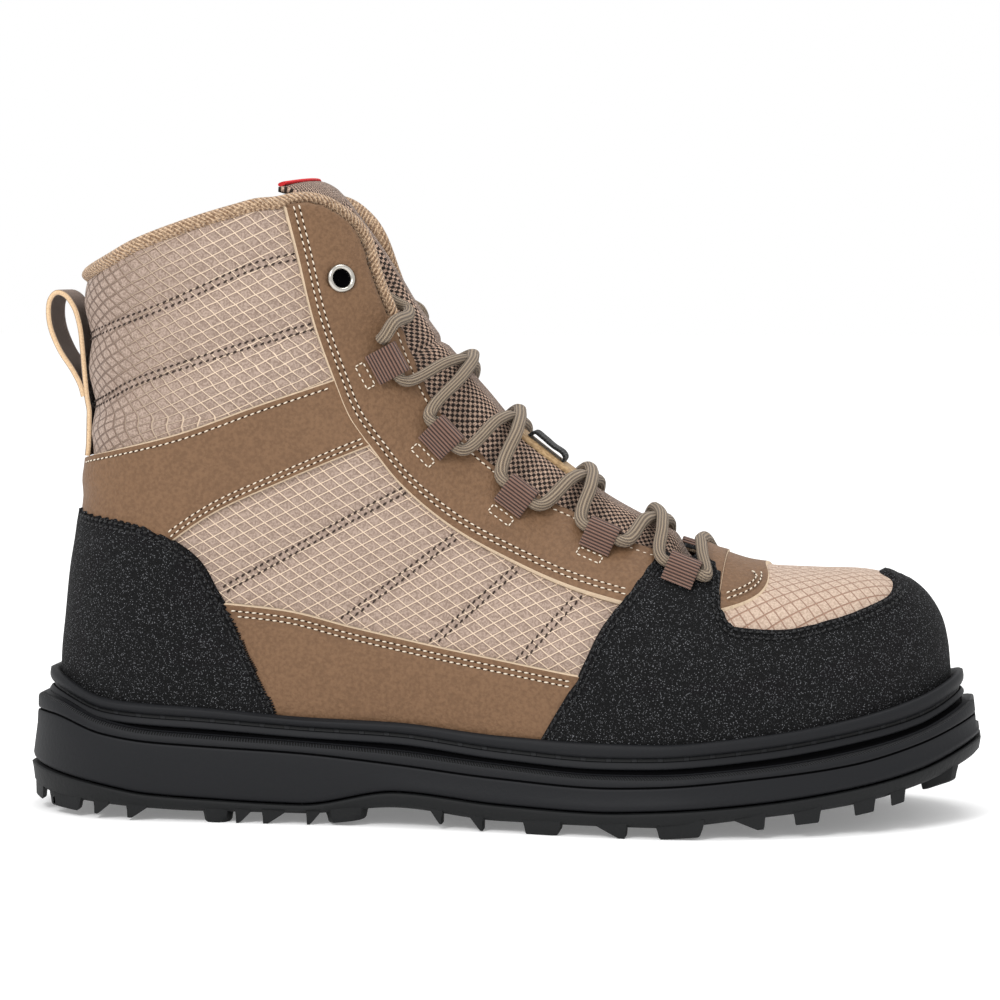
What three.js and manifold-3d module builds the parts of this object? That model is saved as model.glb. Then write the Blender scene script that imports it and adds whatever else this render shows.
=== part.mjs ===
// Wading boot for the right foot: lugged sole, fabric upper, leather and rubber overlays, lace loops.
// Millimetres. +X points to the toe, +Z up, -Y to the outer side of the foot, origin on the ground.
import * as THREE from "three";
import { mergeVertices } from "three/addons/utils/BufferGeometryUtils.js";
import Module from "manifold-3d";

const wasm = await Module();
wasm.setup();

// Driving sizes
const soleLength = 322;
const ballWidth = 119;
const heelWidth = 85;
const heelStack = 38;
const upperHeight = 170;
const upperInset = 11.5;
const ankleWidth = 72;
const collarWidth = 82;
const wall = 2.6;
const fit = 0.3;
const hem = 6;
const overlayThick = 1.6;
const lugDepth = 3.5;
const insoleThick = 5;
const tongueThick = 4;
const tongueWidth = 54;
const tongueLift = 1.5;
const tongueGap = 3.3;
const bindingWidth = 3.8;
const laceWidth = 4.2;
const loopLength = 10;
const loopWidth = 10;
const loopHeight = 5;
const loopWall = 0.8;
const eyeletWidth = 9.6;
const eyeletHole = 5.9;
const pullWidth = 20;
const webbing = 1.8;
const patchWidth = 18;
const patchThick = 1.2;
const keeperWidth = 11;
const tabWidth = 12;

// How much of an edge's inset the long sides take, against the heel and toe ends
const sideShare = 0.75;
// Insets of the sole's side from its widest outline, at each level
const inset = { tread: 1.8, groove: 0, band: 2.2, ledge: 3.4, cove: 6.4, bead: 7.2 };

// Plan outline: share of the length, spread from heel to ball half width, shift to the inner side
const plan = [
  { at: 0.0, spread: -0.12, shift: 0 },
  { at: 0.12, spread: 0, shift: 0 },
  { at: 0.25, spread: 0, shift: -0.01 },
  { at: 0.38, spread: 0.03, shift: -0.03 },
  { at: 0.5, spread: 0.32, shift: -0.045 },
  { at: 0.62, spread: 0.79, shift: -0.033 },
  { at: 0.72, spread: 1, shift: 0.001 },
  { at: 0.84, spread: 0.97, shift: 0.062 },
  { at: 1, spread: 0.79, shift: 0.15 },
];
const heelRound = { length: 0.15, power: 2.1 };
const toeRound = { length: 0.34, power: 2.25 };

// Levels of the sole's side along its length, as shares of the heel stack
const levels = [
  { at: 0.0, tread: 0.224, groove: 0.526, band: 0.947, ledge: 1.066, bead: 1.158, feather: 1.276 },
  { at: 0.04, tread: 0.163, groove: 0.408, band: 0.895, ledge: 1.013, bead: 1.092, feather: 1.197 },
  { at: 0.1, tread: 0.132, groove: 0.297, band: 0.747, ledge: 0.85, bead: 0.953, feather: 1.037 },
  { at: 0.15, tread: 0.108, groove: 0.232, band: 0.689, ledge: 0.782, bead: 0.921, feather: 1.005 },
  { at: 0.2, tread: 0.0921, groove: 0.205, band: 0.663, ledge: 0.755, bead: 0.9, feather: 0.984 },
  { at: 0.31, tread: 0.0921, groove: 0.174, band: 0.618, ledge: 0.705, bead: 0.839, feather: 0.916 },
  { at: 0.41, tread: 0.166, groove: 0.303, band: 0.542, ledge: 0.65, bead: 0.803, feather: 0.887 },
  { at: 0.52, tread: 0.0921, groove: 0.232, band: 0.458, ledge: 0.566, bead: 0.708, feather: 0.808 },
  { at: 0.62, tread: 0.0921, groove: 0.208, band: 0.42, ledge: 0.518, bead: 0.666, feather: 0.784 },
  { at: 0.67, tread: 0.0921, groove: 0.226, band: 0.434, ledge: 0.524, bead: 0.674, feather: 0.782 },
  { at: 0.77, tread: 0.168, groove: 0.287, band: 0.505, ledge: 0.584, bead: 0.742, feather: 0.847 },
  { at: 0.87, tread: 0.258, groove: 0.395, band: 0.603, ledge: 0.7, bead: 0.866, feather: 0.974 },
  { at: 0.935, tread: 0.382, groove: 0.513, band: 0.737, ledge: 0.829, bead: 0.987, feather: 1.118 },
  { at: 1, tread: 0.579, groove: 0.737, band: 0.947, ledge: 1.092, bead: 1.263, feather: 1.382 },
];

// Top and front line of the upper, toe first: share of the sole's length, and of the upper's
// height above the feather line under it
const ridge = [
  { at: 0.964, rise: 0.012 },
  { at: 0.961, rise: 0.07 },
  { at: 0.954, rise: 0.124 },
  { at: 0.938, rise: 0.183 },
  { at: 0.916, rise: 0.227 },
  { at: 0.888, rise: 0.257 },
  { at: 0.823, rise: 0.284 },
  { at: 0.767, rise: 0.305 },
  { at: 0.705, rise: 0.354 },
  { at: 0.661, rise: 0.398 },
  { at: 0.615, rise: 0.444 },
  { at: 0.578, rise: 0.491 },
  { at: 0.519, rise: 0.573 },
  { at: 0.48, rise: 0.632 },
  { at: 0.438, rise: 0.722 },
  { at: 0.411, rise: 0.811 },
  { at: 0.396, rise: 0.868 },
  { at: 0.367, rise: 0.978 },
  { at: 0.335, rise: 1.09 },
];
// Back line: share of the upper's height above the heel stack, and of the lean of the heel
const heelLean = 10;
const back = [
  { rise: -0.02, lean: 0 },
  { rise: 0.08, lean: 0.07 },
  { rise: 0.16, lean: 0.23 },
  { rise: 0.25, lean: 0.41 },
  { rise: 0.32, lean: 0.61 },
  { rise: 0.39, lean: 0.76 },
  { rise: 0.45, lean: 0.92 },
  { rise: 0.5, lean: 1.03 },
  { rise: 0.58, lean: 1.06 },
  { rise: 0.72, lean: 0.95 },
  { rise: 0.84, lean: 0.85 },
  { rise: 1.09, lean: 0.65 },
];

// Edges seen from the side, in the ridge's shares
const rim = [
  [0.03, 0.753], [0.059, 0.768], [0.081, 0.793], [0.104, 0.821], [0.135, 0.852],
  [0.188, 0.895], [0.239, 0.928], [0.282, 0.95], [0.32, 0.957], [0.345, 0.951],
];
const throat = [
  [0.717, 0.362], [0.702, 0.332], [0.663, 0.353], [0.63, 0.376], [0.589, 0.416], [0.544, 0.455],
  [0.492, 0.52], [0.468, 0.559], [0.442, 0.609], [0.423, 0.673], [0.407, 0.743], [0.387, 0.828],
  [0.371, 0.897], [0.345, 0.951],
];
const eyestayRear = [
  [0.283, 1.057], [0.288, 1.004], [0.304, 0.894], [0.321, 0.763], [0.34, 0.661], [0.357, 0.581],
  [0.381, 0.521], [0.41, 0.456], [0.462, 0.383], [0.528, 0.325], [0.58, 0.288], [0.635, 0.26],
];
const towerLeft = [[0.557, 0.002], [0.594, 0.117], [0.618, 0.213], [0.642, 0.275], [0.667, 0.344]];
const capRight = [
  [0.693, 0.365], [0.725, 0.322], [0.734, 0.297], [0.738, 0.238], [0.748, 0.208], [0.768, 0.196],
  [0.803, 0.187], [0.848, 0.191], [0.882, 0.2], [0.902, 0.216], [0.898, 0.238], [0.882, 0.272],
];
const counterTop = [
  [0.049, 0.342], [0.074, 0.347], [0.139, 0.348], [0.178, 0.319], [0.204, 0.282], [0.222, 0.225],
  [0.241, 0.17], [0.26, 0.098],
];
const bandTop = [
  [0.02, 0.425], [0.057, 0.43], [0.079, 0.461], [0.183, 0.531], [0.262, 0.595], [0.34, 0.653],
];
const bandLow = [[0.359, 0.512], [0.288, 0.45], [0.221, 0.383], [0.182, 0.33]];
const lowBandTop = [
  [0.234, 0.207], [0.299, 0.203], [0.359, 0.184], [0.44, 0.158], [0.533, 0.141], [0.594, 0.127],
];
const vampPatch = [
  [0.717, 0.39], [0.772, 0.36], [0.781, 0.295], [0.78, 0.27], [0.77, 0.249], [0.745, 0.237],
];
const loopSpots = [[0.695, 0.317], [0.611, 0.368], [0.524, 0.443], [0.447, 0.545], [0.391, 0.686]];
const eyeletSpot = [0.347, 0.848];

const finishes = {
  rubber: { color: 0x26282b, roughness: 0.75, metalness: 0 },
  blackFabric: { color: 0x1f1f20, roughness: 0.95, metalness: 0 },
  leather: { color: 0x7d6650, roughness: 0.6, metalness: 0 },
  ripstop: { color: 0xb29c88, roughness: 0.9, metalness: 0 },
  knit: { color: 0xb9987a, roughness: 0.95, metalness: 0 },
  mesh: { color: 0x8f7767, roughness: 0.95, metalness: 0 },
  webbing: { color: 0x6b5245, roughness: 0.9, metalness: 0 },
  tan: { color: 0xb48a5c, roughness: 0.6, metalness: 0 },
  red: { color: 0xa3201c, roughness: 0.8, metalness: 0 },
  metal: { color: 0x9a9690, roughness: 0.35, metalness: 1 },
};

// Numbers along tables

function monotone(xs, ys) {
  const step = xs.slice(1).map((x, i) => x - xs[i]);
  const slope = step.map((h, i) => (ys[i + 1] - ys[i]) / h);
  const tangent = xs.map((_, i) => {
    if (i === 0) return slope[0];
    if (i === xs.length - 1) return slope[i - 1];
    if (slope[i - 1] * slope[i] <= 0) return 0;
    const a = (2 * step[i] + step[i - 1]) / slope[i - 1];
    const b = (step[i] + 2 * step[i - 1]) / slope[i];
    return (3 * (step[i - 1] + step[i])) / (a + b);
  });
  return (value) => {
    const x = Math.min(Math.max(value, xs[0]), xs[xs.length - 1]);
    let i = 0;
    while (i < step.length - 1 && x > xs[i + 1]) i += 1;
    const t = (x - xs[i]) / step[i];
    const rise = (2 * t ** 3 - 3 * t ** 2 + 1) * ys[i] + (3 * t ** 2 - 2 * t ** 3) * ys[i + 1];
    const bend = (t ** 3 - 2 * t ** 2 + t) * tangent[i] + (t ** 3 - t ** 2) * tangent[i + 1];
    return rise + bend * step[i];
  };
}

const column = (rows, key, name) => monotone(rows.map((r) => r[key]), rows.map((r) => r[name]));
const clamp = (v) => Math.min(Math.max(v, 0), 1);
const mix = (a, b, t) => a + (b - a) * t;
function ease(v, from, to) {
  const t = clamp((v - from) / (to - from));
  return t * t * (3 - 2 * t);
}
const round = (u, power) => (1 - (1 - clamp(u)) ** power) ** (1 / power);

// Plan and levels of the sole

const tip = soleLength / 2 - upperInset;
const spreadAt = column(plan, "at", "spread");
const shiftAt = column(plan, "at", "shift");
const levelAt = {};
for (const name of ["tread", "groove", "band", "ledge", "bead", "feather"]) {
  levelAt[name] = column(levels, "at", name);
}
const shareOf = (x) => x / soleLength + 0.5;
const level = (name, x) => levelAt[name](shareOf(x)) * heelStack;
const shift = (t) => (shiftAt(t) * ballWidth) / 2;
const halfPlan = (t) => mix(heelWidth, ballWidth, spreadAt(t)) / 2;
const insetShare = (x, by) => (x + soleLength / 2 - by) / (soleLength - 2 * by);

// Y of the plan outline at x, drawn in by an inset, on the outer (-1) or inner (1) side
function outline(x, by, side) {
  const t = clamp(insetShare(x, by));
  const heelEnd = round(t / heelRound.length, heelRound.power);
  const toeEnd = round((1 - t) / toeRound.length, toeRound.power);
  return shift(t) + side * (halfPlan(t) - by * sideShare) * heelEnd * toeEnd;
}

// The form of the last: y = centre +- half over its side view

const spot = ([at, rise]) => {
  const x = (at - 0.5) * soleLength;
  return [x, level("feather", x) + rise * upperHeight];
};
const ridgeRows = ridge.map((r) => spot([r.at, r.rise]));
ridgeRows[0][0] = tip;
const ridgeCurve = new THREE.CatmullRomCurve3(
  ridgeRows.map(([x, z]) => new THREE.Vector3(x, 0, z)),
  false,
  "centripetal",
);
const ridgeLine = ridgeCurve.getPoints((ridge.length - 1) * 10).map((p) => [p.x, p.z]);
const backLean = column(back, "rise", "lean");
const backAt = (z) => -tip + heelLean * backLean((z - heelStack) / upperHeight);

function ridgeTop(x) {
  let i = 1;
  while (i < ridgeLine.length - 1 && ridgeLine[i][0] > x) i += 1;
  const [a, b] = [ridgeLine[i - 1], ridgeLine[i]];
  return mix(a[1], b[1], clamp((x - a[0]) / (b[0] - a[0])));
}

// Height of the ridge of the form grown by an offset, which also moves it forward at the steep toe
const toeSteep = [0.38 * soleLength, tip];
function ridgeTopGrown(x, grow) {
  return ridgeTop(x - grow * ease(x, ...toeSteep)) + grow;
}

// Distance under the ridge, positive inside
function underRidge(x, z) {
  let best = Infinity;
  let sign = 1;
  for (let i = 1; i < ridgeLine.length; i += 1) {
    const [ax, az] = ridgeLine[i - 1];
    const [dx, dz] = [ridgeLine[i][0] - ax, ridgeLine[i][1] - az];
    const t = clamp(((x - ax) * dx + (z - az) * dz) / (dx * dx + dz * dz));
    const [px, pz] = [x - ax - t * dx, z - az - t * dz];
    const d = px * px + pz * pz;
    if (d < best) {
      best = d;
      sign = dx * pz - dz * px >= 0 ? 1 : -1;
    }
  }
  return Math.sqrt(best) * sign;
}

const ankleZ = heelStack + 0.42 * upperHeight;
const collarZ = heelStack + 0.98 * upperHeight;
const waistZ = heelStack + 0.07 * upperHeight;
const shaftZ = heelStack + 0.44 * upperHeight;
const instepX = 0.03 * soleLength;
const vampX = 0.25 * soleLength;
const shaftShare = (x, z) => ease(z, waistZ, shaftZ) * (1 - ease(x, instepX, vampX));
const rounding = { instep: 50, heelLow: 46, heelHigh: 34, sideBulge: 1, bulgeHeight: 34 };

function centre(x, z) {
  return shift(clamp(insetShare(x, upperInset))) * (1 - shaftShare(x, z));
}

function half(x, z, grow) {
  const t = insetShare(x, upperInset);
  const feather = level("feather", x);
  const bulge = rounding.sideBulge * Math.sin(Math.PI * clamp((z - feather) / rounding.bulgeHeight));
  const low = halfPlan(clamp(t)) - upperInset * sideShare + bulge;
  const high = mix(ankleWidth, collarWidth, ease(z, ankleZ, collarZ)) / 2;
  const width = mix(low, high, shaftShare(x, z)) + grow;
  const toe = round((1 - t + grow / (2 * tip)) / toeRound.length, toeRound.power);
  const heelReach = mix(rounding.heelLow, rounding.heelHigh, ease(z, waistZ, collarZ)) + grow;
  const heel = round((x - backAt(z) + grow) / heelReach, heelRound.power);
  const over = ridgeTopGrown(x, grow);
  const toeward = ease(x, 0.18 * soleLength, 0.3 * soleLength);
  const depth = mix(underRidge(x, z) + grow, over - z, toeward);
  const reach = Math.max(mix(rounding.instep + grow, over - feather, toeward), 4);
  const power = 2 + 0.3 * toeward + 0.4 * ease(z, ankleZ, collarZ);
  return width * toe * heel * round(depth / reach, power);
}

const surfaceY = (x, z, grow, side) => centre(x, z) + side * half(x, z, grow);

// Closed meshes and booleans

function solidOf(positions, faces) {
  const triangles = faces.flatMap((f) => (f.length === 4 ? [f[0], f[1], f[2], f[0], f[2], f[3]] : f));
  const geometry = new THREE.BufferGeometry();
  geometry.setAttribute("position", new THREE.Float32BufferAttribute(positions.flat(), 3));
  geometry.setIndex(triangles);
  return fromGeometry(geometry);
}

function fromGeometry(geometry) {
  geometry.deleteAttribute("normal");
  geometry.deleteAttribute("uv");
  const merged = mergeVertices(geometry, 2e-3);
  const index = [];
  for (let i = 0; i < merged.index.count; i += 3) {
    const [a, b, c] = [merged.index.getX(i), merged.index.getX(i + 1), merged.index.getX(i + 2)];
    if (a !== b && b !== c && a !== c) index.push(a, b, c);
  }
  const build = (triVerts) => {
    const vertProperties = Float32Array.from(merged.attributes.position.array);
    return new wasm.Manifold(new wasm.Mesh({ numProp: 3, vertProperties, triVerts }));
  };
  const made = build(Uint32Array.from(index));
  return made.volume() > 0 ? made : build(Uint32Array.from(index.reverse()));
}

const join = (solids) => solids.reduce((a, b) => a.add(b));

// A prism across the boot over a closed outline in the side view
function sidePrism(points, from, to) {
  const shape = new THREE.Shape(points.map(([x, z]) => new THREE.Vector2(x, z)));
  const geometry = new THREE.ExtrudeGeometry(shape, { depth: to - from, bevelEnabled: false });
  geometry.rotateX(Math.PI / 2);
  geometry.translate(0, to, 0);
  return fromGeometry(geometry);
}
const reachY = ballWidth;
const acrossPrism = (points) => sidePrism(points, -reachY, reachY);

// A layer stack round the plan outline: each layer has an inset and a height at x
const rows = 20;
function stack(layers) {
  const positions = [];
  const faces = [];
  for (const layer of layers) {
    const reach = soleLength / 2 - layer.by;
    for (const side of [-1, 1]) {
      for (let i = 0; i <= rows; i += 1) {
        const x = -reach * Math.cos((Math.PI * i) / rows);
        const atEnd = i === 0 || i === rows;
        const y = atEnd ? shift(i / rows) : outline(x, layer.by, side);
        positions.push([x, y, layer.height(x)]);
      }
    }
  }
  const ring = 2 * (rows + 1);
  for (let k = 0; k + 1 < layers.length; k += 1) {
    for (let i = 0; i < rows; i += 1) {
      const [a, b] = [k * ring + i, k * ring + rows + 1 + i];
      faces.push([a, a + 1, a + 1 + ring, a + ring]);
      faces.push([b + 1, b, b + ring, b + 1 + ring]);
    }
  }
  const top = (layers.length - 1) * ring;
  for (let i = 0; i < rows; i += 1) {
    const far = rows + 1;
    faces.push([i, i + far, i + 1 + far, i + 1]);
    faces.push([top + i, top + i + 1, top + i + 1 + far, top + i + far]);
  }
  return solidOf(positions, faces);
}

const at = (name, lift, by) => ({ by, height: (x) => level(name, x) + lift });

// The closed form of the last, grown or shrunk, between its ridge and its bottom and back line
const fan = { toe: 8, instep: 9, shaft: 4, across: 7, crowd: 1.3 };
const vampAt = 0.705;
const ankleAt = 0.474;

function ridgeAt(share) {
  const p = ridgeCurve.getPoint(share);
  const t = ridgeCurve.getTangent(share);
  return { x: p.x, z: p.z, nx: t.z, nz: -t.x, tx: t.x, tz: t.z };
}

function ridgeShareAt(atShare) {
  const x = (atShare - 0.5) * soleLength;
  let [low, high] = [0, 1];
  for (let i = 0; i < 40; i += 1) {
    const middle = (low + high) / 2;
    if (ridgeCurve.getPoint(middle).x > x) low = middle;
    else high = middle;
  }
  return low;
}

// Rays from the ridge to the bottom and back line, toe first
function fanRays(grow, drop) {
  const rays = [];
  const vampX0 = (vampAt - 0.5) * soleLength;
  const bottom = (x) => level("feather", x) - drop;
  for (let i = 0; i < fan.toe; i += 1) {
    const x = mix(vampX0, tip + grow, Math.cos((Math.PI / 2) * (i / fan.toe)));
    rays.push({ top: [x, ridgeTopGrown(x, grow)], foot: [x, bottom(x)], turned: 0, shut: i === 0 });
  }
  const [vamp, ankle] = [ridgeShareAt(vampAt), ridgeShareAt(ankleAt)];
  const cornerZ = bottom(-tip);
  for (let i = 0; i <= fan.instep; i += 1) {
    const t = i / fan.instep;
    const p = ridgeAt(mix(vamp, ankle, t));
    const lift = i === 0 ? [0, 1] : [p.nx, p.nz];
    const x = mix(vampX0, backAt(cornerZ) - grow, Math.sin((Math.PI / 2) * t));
    const top = [p.x + lift[0] * grow, p.z + lift[1] * grow];
    rays.push({ top, foot: [x, bottom(x)], turned: ease(t, 0.4, 0.8), shut: t === 1 });
  }
  const topZ = ridgeRows[ridgeRows.length - 1][1];
  for (let i = 1; i <= fan.shaft; i += 1) {
    const t = i / fan.shaft;
    const p = ridgeAt(mix(ankle, 1, t));
    const z = mix(cornerZ, topZ, t ** 0.9);
    const top = [p.x + p.nx * grow, p.z + p.nz * grow];
    rays.push({ top, foot: [backAt(z) - grow, z], turned: 1, shut: true });
  }
  return rays;
}

function closedForm(grow, drop) {
  const positions = [];
  const faces = [];
  const rays = fanRays(grow, drop);
  const n = fan.across;
  for (const side of [-1, 1]) {
    rays.forEach((ray, i) => {
      for (let j = 0; j <= n; j += 1) {
        const bothEnds = (1 - Math.cos((Math.PI * j) / n)) / 2;
        const topOnly = 1 - Math.cos((Math.PI / 2) * (j / n));
        const t = mix(topOnly, bothEnds, ray.turned) ** fan.crowd;
        const [x, z] = [mix(ray.top[0], ray.foot[0], t), mix(ray.top[1], ray.foot[1], t)];
        const shut = j === 0 || i === 0 || (j === n && ray.shut);
        positions.push([x, shut ? centre(x, z) : surfaceY(x, z, grow, side), z]);
      }
    });
  }
  const width = n + 1;
  const far = rays.length * width;
  for (let i = 0; i + 1 < rays.length; i += 1) {
    for (let j = 0; j < n; j += 1) {
      const a = i * width + j;
      faces.push([a, a + 1, a + 1 + width, a + width]);
      faces.push([a + far, a + far + width, a + far + 1 + width, a + far + 1]);
    }
    const edge = i * width + n;
    faces.push([edge, edge + far, edge + far + width, edge + width]);
  }
  const last = (rays.length - 1) * width;
  for (let j = 0; j < n; j += 1) {
    faces.push([last + j, last + j + 1, last + far + j + 1, last + far + j]);
  }
  return solidOf(positions, faces);
}

// A frame on the side of the form: point, outward normal, tangent up the ridge, and away from it
function sideFrame([atShare, rise], side, lift) {
  const [x, z] = spot([atShare, rise]);
  const e = 0.4;
  const hx = (half(x + e, z, 0) - half(x - e, z, 0)) / (2 * e);
  const hz = (half(x, z + e, 0) - half(x, z - e, 0)) / (2 * e);
  const normal = new THREE.Vector3(-hx, side, -hz).normalize();
  let nearest = ridgeAt(0);
  for (let i = 0; i <= 200; i += 1) {
    const p = ridgeAt(i / 200);
    if (Math.hypot(p.x - x, p.z - z) < Math.hypot(nearest.x - x, nearest.z - z)) nearest = p;
  }
  const up = new THREE.Vector3(nearest.tx, 0, nearest.tz);
  up.addScaledVector(normal, -up.dot(normal)).normalize();
  const away = new THREE.Vector3().crossVectors(up, normal).multiplyScalar(side);
  const point = new THREE.Vector3(x, surfaceY(x, z, 0, side), z).addScaledVector(normal, lift);
  return { point, normal, up, away };
}

// Sole

const lugRows = [
  { at: 0.035, across: 0.75, long: 6, wide: 12 },
  { at: 0.075, across: 0.82, long: 8, wide: 13 },
  { at: 0.135, across: 0.86, long: 9, wide: 14 },
  { at: 0.215, across: 0.86, long: 12, wide: 15 },
  { at: 0.285, across: 0.88, long: 8, wide: 14 },
  { at: 0.352, across: 0.86, long: 13, wide: 13 },
  { at: 0.565, across: 0.86, long: 12, wide: 17 },
  { at: 0.632, across: 0.9, long: 6.5, wide: 14 },
  { at: 0.705, across: 0.86, long: 14.5, wide: 19 },
  { at: 0.777, across: 0.9, long: 6.5, wide: 15 },
  { at: 0.848, across: 0.84, long: 12, wide: 18 },
  { at: 0.91, across: 0.76, long: 7, wide: 15 },
  { at: 0.965, across: 0.5, long: 11, wide: 14 },
];
const studRows = [
  { at: 0.09, across: 0, long: 15, wide: 12 },
  { at: 0.17, across: 0.3, long: 10, wide: 13 },
  { at: 0.25, across: 0.3, long: 10, wide: 13 },
  { at: 0.325, across: 0.27, long: 9, wide: 11 },
  { at: 0.6, across: 0.3, long: 11, wide: 16 },
  { at: 0.67, across: 0.34, long: 11, wide: 18 },
  { at: 0.745, across: 0.32, long: 11, wide: 18 },
  { at: 0.82, across: 0.3, long: 11, wide: 16 },
  { at: 0.895, across: 0.26, long: 10, wide: 13 },
];

function lugBlock(row, side) {
  const x = (row.at - 0.5) * soleLength;
  const t = clamp(row.at);
  const y = shift(t) + side * row.across * (halfPlan(t) * Math.sqrt(clamp((1 - t) / 0.14)));
  const [l, w] = [row.long / 2, row.wide / 2];
  const corners = [[-l, -w], [l, -w], [l, w], [-l, w]];
  const shape = new THREE.Shape(corners.map(([a, b]) => new THREE.Vector2(a, b)));
  const depth = heelStack + 2 * lugDepth;
  const geometry = new THREE.ExtrudeGeometry(shape, { depth, bevelEnabled: false });
  geometry.translate(x, y, -2 * lugDepth);
  return fromGeometry(geometry);
}

function outsole() {
  const plate = stack(
    [
      at("tread", 0, inset.tread + 1.2),
      at("tread", 1.4, inset.tread - 1.2),
      at("groove", -0.9, inset.groove),
      at("groove", -fit, inset.groove + 1.2),
    ],
  );
  const zone = stack([at("tread", -lugDepth, inset.tread + 1), at("tread", 1.2, inset.tread)]);
  const blocks = [];
  for (const row of lugRows) blocks.push(lugBlock(row, -1), lugBlock(row, 1));
  for (const row of studRows) {
    blocks.push(lugBlock(row, -1));
    if (row.across > 0) blocks.push(lugBlock(row, 1));
  }
  return plate.add(join(blocks).intersect(zone));
}

function midsole() {
  return stack(
    [
      at("groove", 0, inset.groove + 1.2),
      at("groove", 0.9, inset.groove),
      at("band", -0.6, inset.band - 0.8),
      at("band", 0, inset.band + 0.6),
      at("band", 0.6, inset.band - 0.4),
      at("ledge", -0.8, inset.ledge - 0.9),
      at("ledge", 0, inset.ledge + 0.6),
    ],
  );
}

const trayFloor = hem + fit;
const formDrop = 2 * hem;
const innerDrop = 3 * hem;

// All that lies under a height along the feather line, within the sole's outline
const beneath = (lift) => stack([at("feather", -4 * hem, 0), at("feather", lift, 0)]);

function welt() {
  const body = stack(
    [
      at("ledge", fit, inset.cove - 1),
      at("bead", -1.5, inset.cove + 0.8),
      at("bead", 0.6, inset.bead),
      at("feather", -1.4, inset.bead),
      at("feather", 0, inset.bead + 1.4),
    ],
  );
  return body.subtract(closedForm(fit, formDrop).subtract(beneath(-trayFloor)));
}

function insole() {
  const slab = beneath(insoleThick - hem).subtract(beneath(-hem));
  return slab.intersect(closedForm(-wall - fit, innerDrop));
}

// Side outlines of the pieces

const spots = (points) => points.map(spot);
function alongFeather(from, to, lift, steps) {
  const points = [];
  for (let i = 0; i <= steps; i += 1) {
    const x = (mix(from, to, i / steps) - 0.5) * soleLength;
    points.push([x, level("feather", x) + lift]);
  }
  return points;
}
const farUp = 1.5 * upperHeight;
const outOfToe = soleLength * 0.6;

// Moves each point of an open line sideways, to its left as it runs
function beside(points, by) {
  return points.map(([x, z], i) => {
    const [ax, az] = points[Math.max(i - 1, 0)];
    const [bx, bz] = points[Math.min(i + 1, points.length - 1)];
    const length = Math.hypot(bx - ax, bz - az);
    return [x - ((bz - az) / length) * by, z + ((bx - ax) / length) * by];
  });
}

const throatLine = spots(throat);
const rimLine = spots(rim);
// The throat's cut rises a little towards the toe, clear of the vamp
const throatClear = 0.04 * upperHeight;

function throatCut() {
  const [foot, head] = [throatLine[0], throatLine.at(-1)];
  return acrossPrism([
    ...throatLine,
    [head[0], farUp],
    [outOfToe, farUp],
    [outOfToe, foot[1] + throatClear],
  ]);
}

function collarCut() {
  const [backEnd, frontEnd] = [rimLine[0], rimLine.at(-1)];
  return acrossPrism([
    [-soleLength, backEnd[1]],
    ...rimLine,
    [outOfToe, frontEnd[1]],
    [outOfToe, farUp],
    [-soleLength, farUp],
  ]);
}

const eyeletWall = 1;
function eyeletCutter(side) {
  const frame = sideFrame(eyeletSpot, side, 0);
  const radius = eyeletHole / 2 + eyeletWall + fit;
  const geometry = new THREE.CylinderGeometry(radius, radius, 2 * eyeletWidth, 16);
  return fromGeometry(placed(geometry, frame));
}

// Stands a shape that was made along +Y on a side frame, with its X up the ridge
function placed(geometry, frame) {
  const across = new THREE.Vector3().crossVectors(frame.up, frame.normal);
  const matrix = new THREE.Matrix4().makeBasis(frame.up, frame.normal, across);
  matrix.setPosition(frame.point);
  return geometry.applyMatrix4(matrix);
}

const outer = closedForm(0, formDrop);
const skinIn = closedForm(fit, formDrop);
const skinOut = closedForm(fit + overlayThick, formDrop);
const skin = skinOut.subtract(skinIn);
const eyeletCuts = eyeletCutter(-1).add(eyeletCutter(1));
const openings = throatCut().add(collarCut());

function upper() {
  const inner = closedForm(-wall, innerDrop);
  return outer.subtract(inner).subtract(beneath(-hem)).subtract(openings).subtract(eyeletCuts);
}

const clearOf = { toe: beside(spots(towerLeft), fit), counter: beside(spots(counterTop), fit) };

function toeCap() {
  const points = [
    ...spots(towerLeft),
    ...spots(capRight),
    [spot(capRight.at(-1))[0], farUp],
    [outOfToe, farUp],
    [outOfToe, level("feather", tip) + fit],
    ...alongFeather(0.99, 0.575, fit, 11),
  ];
  return skin.intersect(acrossPrism(points)).subtract(openings);
}

function heelCounter() {
  const points = [
    [-soleLength * 0.6, spot(counterTop[0])[1]],
    ...spots(counterTop),
    ...alongFeather(0.284, 0.01, 2 * fit, 8),
    [-soleLength * 0.6, level("feather", -tip) + fit],
  ];
  return skin.intersect(acrossPrism(points));
}

function eyestay(side) {
  const points = [
    ...throatLine.slice(2),
    [throatLine.at(-1)[0], farUp],
    [spot(eyestayRear[0])[0], farUp],
    ...spots(eyestayRear),
    ...clearOf.toe.slice(3),
  ];
  const prism = side < 0 ? sidePrism(points, -reachY, 0) : sidePrism(points, 0, reachY);
  return skin.intersect(prism).subtract(openings).subtract(eyeletCuts);
}

function ankleBand() {
  const points = [
    ...spots(bandTop),
    ...beside(spots(eyestayRear.slice(4, 7)), -fit),
    ...spots(bandLow),
    ...clearOf.counter.slice(0, 4).reverse(),
    [-soleLength * 0.6, clearOf.counter[0][1]],
    [-soleLength * 0.6, spot(bandTop[0])[1]],
  ];
  return skin.intersect(acrossPrism(points));
}

function lowBand(side) {
  const points = [
    ...spots(lowBandTop).slice(0, -1),
    clearOf.toe[1],
    ...alongFeather(0.554, 0.289, fit, 5),
    ...clearOf.counter.slice(5).reverse(),
  ];
  const prism = side < 0 ? sidePrism(points, -reachY, 0) : sidePrism(points, 0, reachY);
  return skin.intersect(prism);
}

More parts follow.
